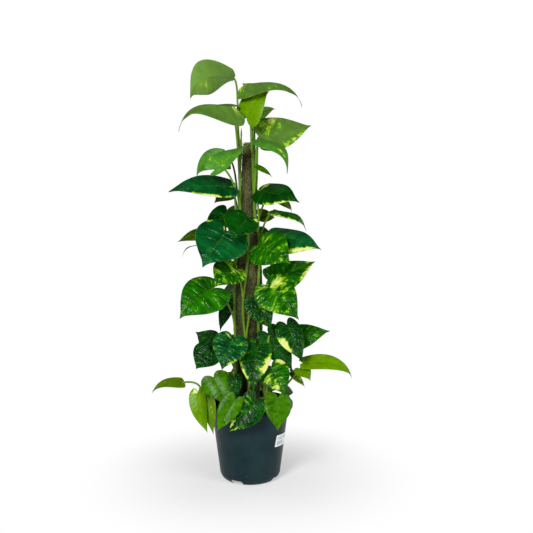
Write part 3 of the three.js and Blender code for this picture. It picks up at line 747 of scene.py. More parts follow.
def make_soil():
    """Grainy mix to the pot's wall, closed down to its floor, with loose crumbs and bark on top."""
    edge = wall_radius(SOIL_TOP) - WALL - SOIL_GAP
    low = WALL + 0.5
    floor = FLOOR_RISE + low

    def height(r):
        return SOIL_TOP + SOIL_MOUND * (1 - smoothstep(r / edge))

    def bumps(x, y, r):
        lump = noise.fractal(Vector((x / 9, y / 9, 7.0)), 0.8, 2.2, 5)
        grain = noise.noise(Vector((x / 2.4, y / 2.4, 1.0)))
        return (2.2 * lump + 1.1 * grain) * (1 - 0.6 * r / edge)

    reaches = [edge * i / SOIL_RINGS for i in range(1, SOIL_RINGS + 1)]
    top = [(r, height(r) - 1.5) for r in reaches]
    foot = [(wall_radius(FOOT_CORNER + 4) - WALL - SOIL_GAP, FOOT_CORNER + 4)]
    foot += [(WALL_FOOT - WALL - 4, floor), (BOSS_RADIUS + 9.5, floor), (BOSS_RADIUS - 2.5, low)]
    points, faces = lathe([(0, height(0) - 1), *top, *foot, (0, low)], SOIL_SIDES)
    faces = [(face[0], *face[:0:-1]) for face in faces]  # turned over, because the profile runs down
    points = np.array(points)
    for point in points[1 : 1 + SOIL_RINGS * SOIL_SIDES]:
        x, y, _ = point
        point[2] += bumps(x, y, hypot(x, y))
    shape = Shape()
    shape.add(points, faces)
    rng = random.Random(SOIL_SEED)
    ball = bmesh.new()
    bmesh.ops.create_icosphere(ball, subdivisions=1, radius=1)
    round_points = np.array([v.co for v in ball.verts])
    round_faces = [tuple(v.index for v in f.verts) for f in ball.faces]
    ball.free()
    for _ in range(CRUMBS):
        r = edge * sqrt(rng.random()) * 0.98
        a = rng.uniform(0, TURN)
        x, y = r * sin(a), -r * cos(a)
        if hypot(x - POLE_X, y) < pole_radius(SOIL_TOP) + 1:
            continue
        kind = rng.choice((1, 1, 1, 2, 2, 3))
        size = rng.uniform(0.8, 2.4) if kind < 3 else rng.uniform(2.0, 5.0)
        squash = np.array([rng.uniform(0.6, 1.3), rng.uniform(0.5, 1.1), rng.uniform(0.35, 0.8)])
        lumps = 1 + np.array([rng.uniform(-0.25, 0.25) for _ in round_points])[:, None]
        spin = np.array(Matrix.Rotation(rng.uniform(0, pi), 3, "Z"))
        crumb = (round_points * lumps * squash * size) @ spin.T
        shape.add(crumb + (x, y, height(r) - 0.8 + bumps(x, y, r)), round_faces, kind)
    mats = [
        soil_material("soil_mix", (0.010, 0.006, 0.004), (0.050, 0.032, 0.020)),
        soil_material("soil_crumb", (0.012, 0.008, 0.005), (0.060, 0.040, 0.025)),
        soil_material("soil_coco", (0.045, 0.024, 0.011), (0.13, 0.075, 0.035)),
        soil_material("soil_bark", (0.040, 0.020, 0.010), (0.15, 0.085, 0.045)),
    ]
    dress(shape.build("potting_mix", mats, smooth=False), "soil")


# ---- Leaves
# Half of a blade one unit long, from the notch at the stalk round a lobe to the tip. Each row is a point
# of the outline, along the midrib and out from it, then where its vein leaves the midrib.
BLADE_ROOT = 0.03
HALF_BLADE = (
    (-0.02, 0, BLADE_ROOT),
    (-0.13, 0.08, BLADE_ROOT),
    (-0.17, 0.22, BLADE_ROOT),
    (-0.04, 0.38, BLADE_ROOT),
    (0.2, 0.44, 0.14),
    (0.47, 0.37, 0.36),
    (0.7, 0.22, 0.6),
    (0.89, 0.06, 0.83),
    (1, 0, 1),
)
HALF_WIDTH = 0.44
EDGE_STEPS = 64  # along half an outline
VEIN_STEPS = 12  # from the midrib to the edge
VEIN_SWEEP = 1.35  # how much the veins bend towards the tip
THICKNESS = 0.6
RIB_DEPTH = 0.9  # how far the midrib stands proud below
CREASE = 0.012  # how far the fold is rounded, in leaf lengths
OLD_QUILT = 0.0075  # swelling between the veins of a dark, old leaf, in leaf lengths
YOUNG_QUILT = 0.0012
OLD_RED = 0.02  # a leaf is old when its green has less red than this
LEAF_UPPER, LEAF_UNDER = 0, 1
STALK, ROOT = 0, 1
STALK_SIDES = 12
STALK_RADIUS = 2.6
STEM_SIDES = 14
KNOT_SPACING = 52
LONG_ROOTS = 0.35  # the share of roots that run down the coir
PLANT_SEED = 100
STALK_GREEN = (0.090, 0.200, 0.010)
STEM_GREEN = (0.078, 0.180, 0.010)
SHOOT_GREEN = (0.120, 0.260, 0.020)
# The greens are partly painted light: the top leaves' pale and hazy greens are lighter, and the low leaves'
# mid, fresh and deep greens darker, for more light on the top of the plant than low down.
TONES = {
    "pale": (0.20, 0.40, 0.060),
    "hazy": (0.088, 0.190, 0.026),
    "lime": (0.120, 0.270, 0.001),
    "young": (0.100, 0.205, 0.004),
    "spring": (0.062, 0.215, 0.020),
    "fresh": (0.042, 0.160, 0.001),
    "mid": (0.009, 0.112, 0.001),
    "deep": (0.0015, 0.052, 0.002),
    "teal": (0.002, 0.080, 0.014),
    "olive": (0.040, 0.088, 0.003),
}


def unit_blade():
    """A flat blade as a grid: rows from notch to tip, columns from midrib to edge, both sides joined."""
    spans = len(HALF_BLADE) - 1
    at = np.linspace(0, spans, EDGE_STEPS + 1)
    line = catmull(HALF_BLADE, at)
    line[[0, -1], 1] = 0
    root = np.clip(line[:, 2], BLADE_ROOT, 1)
    t = np.linspace(0, 1, VEIN_STEPS + 1)
    along = root[:, None] + (line[:, 0] - root)[:, None] * t**VEIN_SWEEP
    out = np.maximum(line[:, 1], 0)[:, None] * t
    share, from_rib = np.meshgrid(at / spans, t, indexing="ij")
    halves = [np.stack([along, side * out, side * share, from_rib], -1) for side in (1, -1)]
    grid = np.stack(halves).reshape(-1, 4)
    places = np.round(grid[:, :2], 6)
    _, first, merged = np.unique(places, axis=0, return_index=True, return_inverse=True)
    index = np.arange(len(grid)).reshape(2, EDGE_STEPS + 1, VEIN_STEPS + 1)
    merged = merged.ravel().tolist()
    faces, corners, rim = [], [], []
    for half, row, column in product((0, 1), range(EDGE_STEPS), range(VEIN_STEPS)):
        square = index[half, row : row + 2, column : column + 2].ravel()[[0, 1, 3, 2]]
        kept = {}
        for corner in square[:: -1 if half else 1]:
            kept.setdefault(merged[corner], tuple(grid[corner, 2:]))
        if len(kept) > 2:
            faces.append(tuple(kept))
            corners.append(list(kept.values()))
    for half, row in product((0, 1), range(EDGE_STEPS)):
        edge = [merged[corner] for corner in index[half, row : row + 2, VEIN_STEPS]]
        rim.append(tuple(edge[:: -1 if half else 1]))
    return grid[first], faces, corners, rim


UNIT_GRID, UNIT_FACES, UNIT_CORNERS, UNIT_RIM = unit_blade()
PLAIN_LEAF = {
    "arch": 0.1,  # how far the midrib bows up
    "fold": 0.16,  # how steeply the two halves rise from the midrib
    "curl": 0.5,  # how far their edges turn down again
    "bend": 0.0,  # how far the midrib sways to one side
    "skew": 0.0,  # how much wider one half is
    "lobes": 1.0,  # how far the lobes reach back
    "twist": 0.0,  # turn from base to tip, in radians
    "rise": 0.45,  # how steeply the stalk leaves the stem
    "patches": (),
    "dried": 0.0,
}


class Leaf:
    """One leaf: where its stalk starts, the surface of its blade, and its colours."""

    def __init__(self, start, base, tip, face, tone, streaks, wide=0.82, **looks):
        """wide is the width as a share of the length. looks change what PLAIN_LEAF says."""
        self.start, self.tone, self.streaks, self.wide = start, tone, streaks, wide
        vars(self).update(PLAIN_LEAF, **looks)
        self.base = np.array(base, float)
        chord = np.array(tip, float) - self.base
        self.length = norm(chord)
        self.ahead = chord / self.length
        face = np.array(face, float)
        self.normal = unit(face - self.ahead * np.dot(face, self.ahead))
        self.side = np.cross(self.ahead, self.normal)

    def points(self, along, out, lift=0.0, crease=0.0):
        """Places on the blade, in millimetres; lift is off its upper face, crease rounds the fold."""
        along, out = np.atleast_1d(along), np.atleast_1d(out)
        along = np.where(along < 0, along * self.lobes, along)
        y = out * self.wide / (2 * HALF_WIDTH) * (1 + self.skew * np.sign(out))
        bow = 4 * self.arch * along * (1 - along) * (0.6 + 0.8 * along)
        sway = 4 * self.bend * along * (1 - along)
        folded = np.sqrt(y * y + crease * crease) - crease
        rise = self.fold * folded - self.curl * y * y + lift / self.length
        turn = self.twist * (0.5 - along)
        sideways = sway + y * np.cos(turn) - rise * np.sin(turn)
        upwards = bow + y * np.sin(turn) + rise * np.cos(turn)
        axes = np.array([self.ahead, self.side, self.normal])
        return self.base + np.stack([along, sideways, upwards], -1) @ axes * self.length

    def draw(self, shape, rng):
        along, out, share, from_rib = UNIT_GRID.T
        side = np.sign(share)
        share = np.abs(share)
        y = out * self.wide / (2 * HALF_WIDTH)
        groove = -0.006 * np.exp(-((y / 0.014) ** 2)) * (1.1 - along)
        between = np.abs((share * VEINS) % 1.0 - 0.5) * 2  # 0 on a lateral vein
        swell = smoothstep(from_rib / 0.25) * smoothstep((1 - from_rib) / 0.35)
        depth = OLD_QUILT if TONES[self.tone][0] < OLD_RED else YOUNG_QUILT
        quilt = depth * (np.sqrt(between) - 0.6) * swell
        waves, phase = rng.uniform(1.6, 2.8), [rng.uniform(0, 6.28) for _ in range(2)]
        wave = np.sin(TURN * waves * share + np.where(side > 0, *phase))
        frill = rng.uniform(0.006, 0.013) * from_rib**3 * wave
        twist = rng.uniform(-0.06, 0.06) * y * (along - 0.4)
        droop = -rng.uniform(0.3, 0.9) * np.maximum(along - 0.8, 0) ** 2
        lift = (groove + quilt + frill + twist + droop) * self.length
        rib = RIB_DEPTH * np.exp(-((y * self.length / 1.7) ** 2)) * np.clip(1.05 - along, 0, 1)
        thick = THICKNESS * (1 - 0.65 * from_rib**6) + rib
        patch = np.zeros(len(along))
        for patch_side, at, reach, long, far, power in self.patches:
            near = ((share - at) / long) ** 2 + ((from_rib - reach) / far) ** 2
            patch += power * np.exp(-near) * (side == patch_side)
        tint = 1 + rng.uniform(-0.1, 0.1)
        green = tuple(c * tint for c in TONES[self.tone])
        dried = self.dried * smoothstep((along - 0.93) / 0.07)
        rest = np.ones(len(along))
        marks = np.stack([rest * self.streaks, patch, dried, rest * rng.random()], -1)
        for slot, surface, way in ((LEAF_UPPER, lift, 1), (LEAF_UNDER, lift - thick, -1)):
            faces = [face[::way] for face in UNIT_FACES]
            uvs = np.concatenate([corner[::way] for corner in UNIT_CORNERS])
            shape.add(self.points(along, out, surface, CREASE), faces, slot, uvs, green, marks)
        under = shape.count - len(along)
        upper = under - len(along)
        for a, b in UNIT_RIM:
            shape.faces.append((upper + a, under + a, under + b, upper + b))
        shape.slots.extend([LEAF_UPPER] * len(UNIT_RIM))
        shape.uvs.append(np.tile([0.5, 1.0], (4 * len(UNIT_RIM), 1)))

    def stalk_path(self, stem, steps=26):
        """The leaf stalk: up off the stem, over, and in below the blade's notch."""
        start = stem.at(self.start)
        end = self.points(BLADE_ROOT + 0.02, 0, -1.7)[0]
        reach = norm(end - start)
        level = (end - start) * (1, 1, 0)
        if norm(level) < 1:
            level = start * (1, 1, 0)
        level = unit(level)
        first = start + 0.1 * reach * level + self.rise * reach * UP
        second = end - 0.18 * reach * level + 0.05 * reach * UP
        t = np.linspace(0, 1, steps + 1)[:, None]
        s = 1 - t
        return start * s**3 + 3 * first * t * s**2 + 3 * second * t**2 * s + end * t**3


def add_stalk(shape, path, radii, sides, green, brown=0.0, ridge=None):
    """A green tube, browned by a share for each point of its path."""
    points, faces, uvs = sweep(path, radii, sides, ridge)
    marks = np.outer(np.repeat(np.broadcast_to(brown, len(path)), sides), (0, 0, 1, 0))
    shape.add(points, faces, STALK, uvs, green, marks)


def draw_stalk(shape, leaf, stem, rng):
    path = leaf.stalk_path(stem)
    share = np.linspace(0, 1, len(path))
    sheath = 1 - smoothstep(share / 0.16)
    knee = np.exp(-(((share - 0.93) / 0.035) ** 2))
    taper = 1 - 0.45 * smoothstep((share - 0.93) / 0.07)

    def channel(angles, i):
        """A groove up the stalk's upper side, between two low wings that die out towards the blade."""
        off = np.abs((angles + pi) % TURN - pi)
        wing = np.exp(-(((off - 0.8) / 0.3) ** 2)) * (1 - smoothstep(share[i] / 0.8)) * 0.45
        return 1 + wing - 0.22 * np.exp(-((off / 0.4) ** 2)) * (1 - knee[i])

    radii = (STALK_RADIUS + 1.3 * sheath + 0.6 * knee) * taper
    green = tuple(c * (1 + rng.uniform(-0.15, 0.2)) for c in STALK_GREEN)
    add_stalk(shape, path, radii, STALK_SIDES, green, 0.5 * sheath + 0.12 * knee, channel)


class ClimbingStem:
    """A stem that leaves the soil straight, comes in to the pole and climbs it, winding a little."""

    straight = 12  # height it rises before it comes in
    reach = 110  # height over which it comes in
    winding = 60  # climb to a radian of its winding
    radius = 4.0

    def __init__(self, azimuth, foot, top, sway=8, lean=0):
        self.azimuth, self.foot, self.top, self.sway, self.lean = azimuth, foot, top, sway, lean

    def at(self, z):
        out = SOIL_TOP + self.straight
        above = max(z - out, 0)
        near = pole_radius(max(z, out + self.reach)) + self.radius + 1.5 + self.lean
        distance = self.foot + smoothstep(above / self.reach) * (near - self.foot)
        return around(self.azimuth + self.sway * sin(above / self.winding), distance, z) + (POLE_X, 0, 0)

    def path(self):
        heights = np.linspace(SOIL_TOP - STEM_DEPTH, self.top, int((self.top - SOIL_TOP) / 5))
        return np.array([self.at(z) for z in heights]), heights


class YoungShoot:
    """A short stem through given points."""

    radius = 2.8

    def __init__(self, *points):
        self.points = points

    def at(self, share):
        return centripetal(self.points, share)

    def path(self):
        path = np.array([self.at(share) for share in np.linspace(0, 1, 34)])
        low = path[0] * (1, 1, 0) + (SOIL_TOP - STEM_DEPTH) * UP
        down = [low + (path[0] - low) * t for t in (0, 0.35, 0.7)]
        path = np.vstack([down, path])
        return path, np.linspace(-0.3, 1, len(path))


def draw_stem(shape, stem, leaves, rng):
    path, places = stem.path()
    climbing = isinstance(stem, ClimbingStem)
    ring = 5.0 if climbing else 0.05
    knots = [leaf.start for leaf in leaves]
    if climbing:
        knots += list(np.arange(SOIL_TOP + 25, stem.top - 20, KNOT_SPACING))
    knot = np.minimum(sum(np.exp(-(((places - k) / ring) ** 2)) for k in knots), 1)
    taper = 1 - 0.5 * smoothstep((places - places[-1] + 8 * ring) / (8 * ring))
    low = 1 - smoothstep((path[:, 2] - SOIL_TOP) / 160)
    radii = (stem.radius * 0.95 + 0.8 * knot) * taper
    green = STEM_GREEN if climbing else SHOOT_GREEN
    add_stalk(shape, path, radii, STEM_SIDES, green, 0.45 * knot + 0.4 * low * climbing)
    if not climbing:
        return
    draw_growing_tip(shape, path[-1], unit(path[-1] - path[-3]))
    for k in knots:
        for _ in range(rng.choice((1, 2, 2, 3))):
            draw_aerial_root(shape, stem, k + rng.uniform(-4, 4), rng)


def draw_growing_tip(shape, at, ahead, length=22):
    """A rolled young leaf in its pointed sheath, at the end of a stem."""
    share = np.linspace(0, 1, 9)
    lean = np.array([0.0, -0.25, 0.0])
    path = at + np.outer(share * length, ahead) + np.outer(share**2 * length, lean)
    add_stalk(shape, path, 2.4 * (1 - share**1.6) + 0.15, 10, SHOOT_GREEN)


def draw_aerial_root(shape, stem, z, rng):
    """A brown root from a knot, back into the coir, sometimes running down it for a way."""
    start = stem.at(z)
    axis = np.array([POLE_X, 0, z])
    sideways = np.cross(unit(axis - start), UP) * rng.choice((-1, 1))
    surface = pole_radius(z)
    long = rng.random() < LONG_ROOTS
    run = rng.uniform(25, 70) if long else rng.uniform(4, 12)
    angle = rng.uniform(0.25, 0.7)
    path = [start]
    for t in np.linspace(0.15, 1, 8):
        step = sideways * min(run * t, 9 + 0.3 * run * t) * angle
        spot = start + step - UP * run * t * (0.9 if long else 0.2)
        flat = (spot - axis) * (1, 1, 0)
        wanted = max(surface + 0.6 - 1.8 * t, 5) if z > 240 else norm(flat)
        here = min(norm(flat), norm(start - axis))
        flat = unit(flat) * (here + (wanted - here) * smoothstep(t / 0.4))
        path.append(axis * (1, 1, 0) + flat + spot * UP)
    points, faces, uvs = sweep(path, np.linspace(1.1, 0.35, len(path)), 6)
    shape.add(points, faces, ROOT, uvs)


def rear_leaf(start, azimuth, size, tone, streaks, reach=62, up=60):
    """A leaf at the back: where its stalk grows, the side of the pole it hangs on, and its length."""
    height = start if start > 1 else SOIL_TOP + 60
    base = around(azimuth, reach, up + height)
    swing = 9 if azimuth < 180 else -9  # degrees that the tip is nearer to the back
    tip = around(azimuth + swing, reach + 0.62 * size, up - 0.76 * size + height)
    return Leaf(start, base, tip, around(azimuth, 1, 0.75), tone, streaks, 0.84, fold=0.1)


# Each plant is its stem, then its leaves: where the stalk starts on the stem, the blade's base and tip, the
# way it faces, its tone, how much it is streaked, and its width where that isn't the usual one. A patch has
# the side of the midrib, how far round it is from notch to tip and how far out from the midrib, its reach
# each way, and its strength. Side 1 is clockwise of the tip for someone facing the leaf.
PLANTS = {}
PLANTS["vine_left_front"] = (
    ClimbingStem(-62, 62, 945, lean=1),
    Leaf(905, (-42, -22, 1096), (-154, -40, 1038), (0.1, 0.7, 0.6), "pale", 0.12, 1.04, arch=0.3, fold=0,
        curl=-0.3, bend=-0.12, skew=0.1, lobes=0.15, twist=1.6, patches=((1, 0.66, 0.5, 0.14, 0.4, 0.5),)),
    Leaf(850, (-41, -52, 1018), (-183, -80, 956), (-0.17, -0.25, 0.95), "hazy", 0.05, 0.56, arch=0.25,
        fold=-0.6, curl=0.1, skew=-0.15, lobes=0.6, twist=1.2, patches=((1, 0.12, 0.3, 0.25, 0.5, 0.95),
        (-1, 0.12, 0.3, 0.25, 0.5, 0.95))),
    Leaf(760, (-86, -60, 861), (3, -56, 927), (-0.48, -0.64, 0.6), "spring", 0.35, 0.54, arch=0.03, fold=0,
        curl=0.3, bend=0.04, skew=-0.35, lobes=1.3, twist=-1),
    Leaf(680, (-44, -26, 811), (-212, -62, 800), (0.05, -0.72, 0.7), "teal", 0, 0.54, fold=-0.1, curl=0.4,
        bend=-0.02, skew=0.2, lobes=0.4, twist=-0.4, patches=((-1, 0.6, 0.95, 0.2, 0.16, 1),)),
    Leaf(590, (-61, -66, 695), (-122, -124, 609), (0.04, -0.82, 0.57), "teal", 0.18, 1.22, arch=0.06,
        patches=((1, 0.36, 0.95, 0.05, 0.12, 0.9), (1, 0.16, 0.5, 0.05, 0.3, 0.8),
        (-1, 0.2, 0.6, 0.04, 0.2, 0.6))),
    Leaf(440, (-98, -46, 541), (-185, -92, 467), (0.02, -0.85, 0.53), "mid", 0.3, 0.98, arch=0.06,
        bend=0.06, skew=-0.06, patches=((1, 0.4, 0.8, 0.2, 0.3, 0.35),)),
)
PLANTS["vine_right_front"] = (
    ClimbingStem(52, 60, 960),
    Leaf(890, (-15, -30, 1077), (139, -60, 1022), (0.2, -0.25, 0.95), "hazy", 0.15, 0.49, arch=0.2,
        fold=-0.55, curl=0.1, lobes=0.2, twist=-1, dried=1, patches=((1, 0.15, 0.4, 0.25, 0.5, 0.95),
        (-1, 0.3, 0.4, 0.2, 0.5, 0.95))),
    Leaf(925, (-7, -38, 992), (53, -38, 1060), (-0.2, -0.85, 0.45), "lime", 0, 0.9, bend=-0.08, lobes=0.7),
    Leaf(800, (23, -46, 936), (99, -80, 847), (0.5, -0.55, 0.66), "spring", 0.15, 0.54, arch=0.28,
        fold=-0.1, bend=0.03, lobes=0.2, patches=((1, 0.75, 0.2, 0.08, 0.3, 0.8),)),
    Leaf(790, (20, -38, 864), (60, -52, 837), (0.33, -0.6, 0.75), "fresh", 0.3, 0.46, arch=0.05, fold=0.2),
    Leaf(690, (25, -14, 803), (131, -66, 772), (0, -0.68, 0.72), "deep", 0, 0.92, arch=0.12, fold=-0.1,
        curl=0.4, bend=0.08, skew=-0.22, lobes=0.3, twist=0.3, patches=((-1, 0.4, 0.45, 0.07, 0.5, 1),
        (1, 0.72, 0.95, 0.2, 0.2, 0.8))),
    Leaf(560, (28, -64, 659), (106, -118, 617), (-0.22, -0.77, 0.6), "mid", 0.5, 1.1, arch=0.06,
        skew=-0.08),
    Leaf(450, (50, -58, 548), (129, -106, 467), (-0.02, -0.88, 0.47), "mid", 0.5, 0.88, arch=0.06,
        patches=((-1, 0.45, 0.45, 0.16, 0.6, 0.45), (1, 0.3, 0.3, 0.1, 0.5, 0.3))),
)
PLANTS["vine_front"] = (
    ClimbingStem(-8, 58, 690, sway=12),
    Leaf(640, (-6, -64, 730), (-48, -118, 678), (0.21, -0.71, 0.67), "deep", 0.05, 1.12, arch=0.08,
        skew=0.2, patches=((-1, 0.3, 0.85, 0.07, 0.2, 1), (-1, 0.75, 0.9, 0.1, 0.2, 0.5))),
    Leaf(510, (-36, -58, 593), (-92, -100, 552), (0.14, -0.77, 0.62), "mid", 0.8, 1.12, arch=0.06,
        bend=0.05, skew=0.15),
    Leaf(385, (-46, -82, 411), (-74, -122, 336), (0.02, -0.87, 0.5), "teal", 0.45, 1.05, arch=0.06,
        rise=0.6, patches=((1, 0.25, 0.6, 0.06, 0.5, 0.45), (-1, 0.8, 0.9, 0.1, 0.2, 0.5))),
    Leaf(400, (14, -60, 513), (57, -86, 436), (0.02, -0.92, 0.39), "deep", 0.3, 0.8, arch=0.04),
    Leaf(310, (19, -62, 387), (10, -112, 274), (0, -0.91, 0.4), "deep", 0.4, 0.7, arch=0.06, bend=0.03,
        patches=((1, 0.7, 0.95, 0.1, 0.12, 0.7), (-1, 0.62, 0.9, 0.1, 0.2, 1))),
)
PLANTS["vine_right_back"] = (
    ClimbingStem(112, 58, 905),
    Leaf(880, (10, 20, 989), (73, 60, 1019), (0.01, -0.7, 0.6), "pale", 0.3, 0.54, bend=-0.05, lobes=0.6),
    Leaf(790, (26, -10, 945), (167, 12, 973), (-0.1, -0.9, 0.4), "hazy", 0.3, 0.7, arch=0.06, fold=0.05,
        curl=0.4, bend=0.07, skew=-0.1, lobes=0.4, patches=((-1, 0.55, 0.6, 0.13, 0.6, 0.48),
        (1, 0.7, 0.8, 0.16, 0.3, 0.5))),
    Leaf(700, (60, 12, 790), (118, 38, 738), (0.68, -0.53, 0.5), "olive", 0.2, 0.6),
    Leaf(680, (26, 34, 731), (71, 60, 721), (0.2, -0.8, 0.55), "olive", 0.1, 0.8),
    Leaf(655, (67, -20, 747), (150, -70, 698), (0.37, -0.4, 0.85), "mid", 0.3, 0.56, arch=0.16, fold=-0.1,
        lobes=0.5, patches=((-1, 0.6, 0.9, 0.3, 0.2, 0.6), (1, 0.6, 0.9, 0.3, 0.2, 0.6))),
    Leaf(610, (58, -18, 682), (192, -58, 646), (0.05, -0.66, 0.74), "teal", 0.12, 0.78, arch=0.12,
        fold=-0.15, bend=0.04, lobes=0.6, twist=0.2, patches=((1, 0.74, 0.85, 0.2, 0.18, 0.95),
        (1, 0.5, 0.5, 0.07, 0.5, 0.5))),
    Leaf(440, (51, -22, 559), (180, 6, 608), (-0.06, -0.88, 0.47), "mid", 0.35, 0.62, arch=0.04, bend=0.04,
        skew=0.1, lobes=0.3, patches=((1, 0.82, 0.9, 0.15, 0.3, 0.9), (-1, 0.85, 0.9, 0.1, 0.3, 0.5))),
    Leaf(350, (101, -38, 437), (141, -70, 343), (0.12, -0.91, 0.39), "deep", 0.25, 0.68, arch=0.06,
        skew=0.12, patches=((1, 0.64, 0.85, 0.12, 0.28, 1.2),)),
    Leaf(330, (106, 4, 394), (221, -6, 415), (-0.17, -0.84, 0.52), "mid", 0.4, 0.64, arch=0.04, fold=-0.15),
)
PLANTS["vine_left_back"] = (
    ClimbingStem(-118, 60, 800),
    Leaf(750, (-55, 8, 881), (-146, 44, 832), (-0.1, -0.88, 0.45), "spring", 0.15, 0.62, arch=0.14,
        fold=0.25, curl=0.1, bend=0.16, lobes=0.1),
    Leaf(725, (-52, 26, 801), (-98, 50, 763), (-0.1, 0.95, 0.3), "olive", 0.3, 0.85, arch=0.12, fold=0.1,
        curl=0.2, bend=0.04, lobes=0.7),
    Leaf(660, (-64, 12, 740), (-117, -8, 680), (-0.24, -0.84, 0.49), "deep", 0.1, 0.9, arch=0.06),
    Leaf(610, (-119, 24, 685), (-199, 34, 658), (-0.32, -0.59, 0.74), "olive", 0.3, 0.6, arch=0.04),
    Leaf(560, (-122, 20, 650), (-186, 22, 617), (-0.45, 0.1, 0.89), "deep", 0.3, 0.6, arch=0.2),
    Leaf(420, (-57, 16, 494), (-82, 4, 413), (-0.55, -0.78, 0.3), "deep", 0.2, 0.56, arch=0.04),
    Leaf(320, (-99, 16, 374), (-149, -4, 413), (0.39, -0.92, 0.04), "deep", 0.2, 1, arch=0.04),
    Leaf(300, (-111, -16, 365), (-147, -38, 317), (0, -0.89, 0.46), "deep", 0.15, 1.25, arch=0.04),
)
PLANTS["vine_back"] = (
    ClimbingStem(178, 58, 760),
    rear_leaf(690, 212, 100, "mid", 0.5),
    rear_leaf(630, 165, 110, "deep", 0.4),
    rear_leaf(615, 215, 125, "teal", 0.2),
    rear_leaf(590, 140, 120, "mid", 0.7),
    rear_leaf(480, 205, 120, "deep", 0.5),
    rear_leaf(465, 148, 130, "mid", 0.4),
    rear_leaf(330, 218, 125, "teal", 0.35),
    rear_leaf(320, 150, 125, "mid", 0.75),
)
PLANTS["shoot_right"] = (
    YoungShoot((78, -16, 198), (92, -18, 250), (128, -20, 300), (146, -22, 318)),
    Leaf(1, (146, -34, 332), (282, -10, 283), (0.11, -0.6, 0.8), "lime", 0.12, 0.42, arch=0.22, fold=0.1,
        bend=-0.02, lobes=0.4, twist=0.6),
    Leaf(0.9, (137, -40, 318), (163, -76, 294), (-0.06, -0.55, 0.83), "lime", 0.1, 0.9, arch=0.08),
    Leaf(0.6, (115, -4, 296), (153, 2, 253), (0.65, -0.58, 0.49), "young", 0.7, 0.5, arch=0.06, dried=0.8),
)
PLANTS["shoot_left"] = (
    YoungShoot((-74, -40, 204), (-86, -44, 240), (-118, -56, 262), (-132, -62, 266)),
    Leaf(1, (-183, -38, 280), (-266, -56, 257), (-0.13, -0.52, 0.84), "young", 0.15, 0.48, arch=0.2,
        fold=0.1, lobes=0.3),
    # The cream patch on the next leaf is a painted highlight.
    Leaf(0.9, (-140, -74, 262), (-113, -100, 157), (0.28, -0.92, 0.27), "lime", 0.2, 0.44, arch=0.05,
        fold=-0.3, bend=0.06, lobes=0.7, patches=((1, 0.25, 0.5, 0.2, 0.5, 1.1),)),
    Leaf(0.4, (-110, -64, 234), (-99, -90, 150), (-0.27, -0.92, 0.27), "young", 0.3, 0.4, arch=0.04),
)
PLANTS["shoot_front_left"] = (
    YoungShoot((-46, -64, 198), (-50, -66, 240), (-52, -62, 290)),
    Leaf(0.9, (-97, -68, 301), (-64, -96, 233), (-0.08, -0.9, 0.42), "fresh", 0.05, 1.05, arch=0.06,
        bend=-0.04),
    Leaf(0.5, (-40, -126, 256), (-86, -148, 178), (-0.06, -0.96, 0.29), "fresh", 0.12, 0.62, arch=0.05,
        skew=0.1),
    Leaf(1, (-43, -76, 305), (-32, -100, 256), (-0.01, -0.9, 0.44), "deep", 0.1, 0.7, arch=0.04),
)
PLANTS["shoot_front_right"] = (
    YoungShoot((42, -66, 198), (44, -68, 240), (46, -66, 290)),
    Leaf(0.4, (14, -118, 250), (-59, -138, 173), (-0.06, -0.95, 0.32), "deep", 0.3, 0.7, arch=0.05,
        bend=-0.05, patches=((1, 0.8, 0.7, 0.1, 0.4, 0.8), (-1, 0.85, 0.8, 0.1, 0.4, 0.6))),
    Leaf(0.6, (74, -114, 257), (72, -142, 176), (0.09, -0.94, 0.32), "fresh", 0.08, 0.86, arch=0.05),
    Leaf(1, (58, -76, 332), (93, -114, 264), (-0.02, -0.88, 0.48), "mid", 0.4, 0.95, arch=0.06,
        patches=((-1, 0.35, 0.9, 0.1, 0.25, 1), (1, 0.6, 0.6, 0.08, 0.5, 0.6),
        (1, 0.76, 0.6, 0.06, 0.5, 0.7))),
    Leaf(0.9, (50, -44, 415), (116, -52, 315), (0.09, -0.98, 0.2), "deep", 0.1, 0.66, arch=0.04),
)
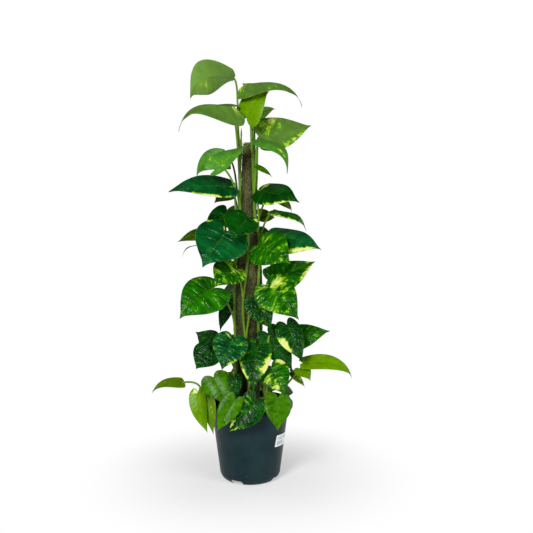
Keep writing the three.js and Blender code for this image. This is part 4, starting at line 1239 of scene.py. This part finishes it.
PLANTS["shoot_back_left"] = (
    YoungShoot((-48, 62, 198), (-52, 66, 240), (-50, 72, 280)),
    rear_leaf(0.5, 232, 95, "fresh", 0.2, 116, 0),
    rear_leaf(0.8, 205, 110, "fresh", 0.3, 116, 20),
    rear_leaf(1, 186, 100, "mid", 0.5, 102, 44),
)
PLANTS["shoot_back_right"] = (
    YoungShoot((50, 60, 198), (54, 64, 240), (56, 70, 280)),
    rear_leaf(0.5, 133, 90, "fresh", 0.15, 118, 0),
    rear_leaf(0.8, 159, 112, "mid", 0.4, 112, 6),
)


def make_plants():
    leaf_mats = [leaf_material("leaf_upper", False), leaf_material("leaf_underside", True)]
    browns = ((0.055, 0.028, 0.012), (0.17, 0.10, 0.045))
    root = bark_material("aerial_root", (400, 4, 0.6), (0.35, 0.65), *browns, 0.85, 0.6)
    stalk_mats = [stalk_material(), root]
    for number, (name, (stem, *leaves)) in enumerate(PLANTS.items()):
        rng = random.Random(PLANT_SEED + number)
        blades, stalks = Shape(), Shape()
        draw_stem(stalks, stem, leaves, rng)
        for leaf in leaves:
            leaf.draw(blades, rng)
            draw_stalk(stalks, leaf, stem, rng)
        dress(blades.build(f"{name}_leaves", leaf_mats), name)
        dress(stalks.build(f"{name}_stalks", stalk_mats), name)


FLOOR_RADIUS = 2400
FLOOR_SIDES = 96
BACKDROP_RADIUS = 12  # metres


def make_floor():
    """A pale disc, and a white ball round everything that only the camera sees."""
    faces = [(0, 1 + j, 1 + (j + 1) % FLOOR_SIDES) for j in range(FLOOR_SIDES)]
    points = [(0, 0, 0), *circle(FLOOR_SIDES, FLOOR_RADIUS, 0)]
    floor = solid("floor", white_material("floor", True), points, faces)
    bpy.ops.mesh.primitive_uv_sphere_add(segments=48, ring_count=24, radius=BACKDROP_RADIUS)
    backdrop = bpy.context.object
    backdrop.name = "backdrop"
    backdrop.data.materials.append(white_material("backdrop", False))
    for ray in ("diffuse", "glossy", "transmission", "shadow", "volume_scatter"):
        setattr(backdrop, f"visible_{ray}", False)


add_camera()
add_lights()
bpy.context.scene.view_settings.view_transform = "Standard"
make_floor()
make_pot()
make_soil()
make_core()
make_coir()
make_label()
make_plants()
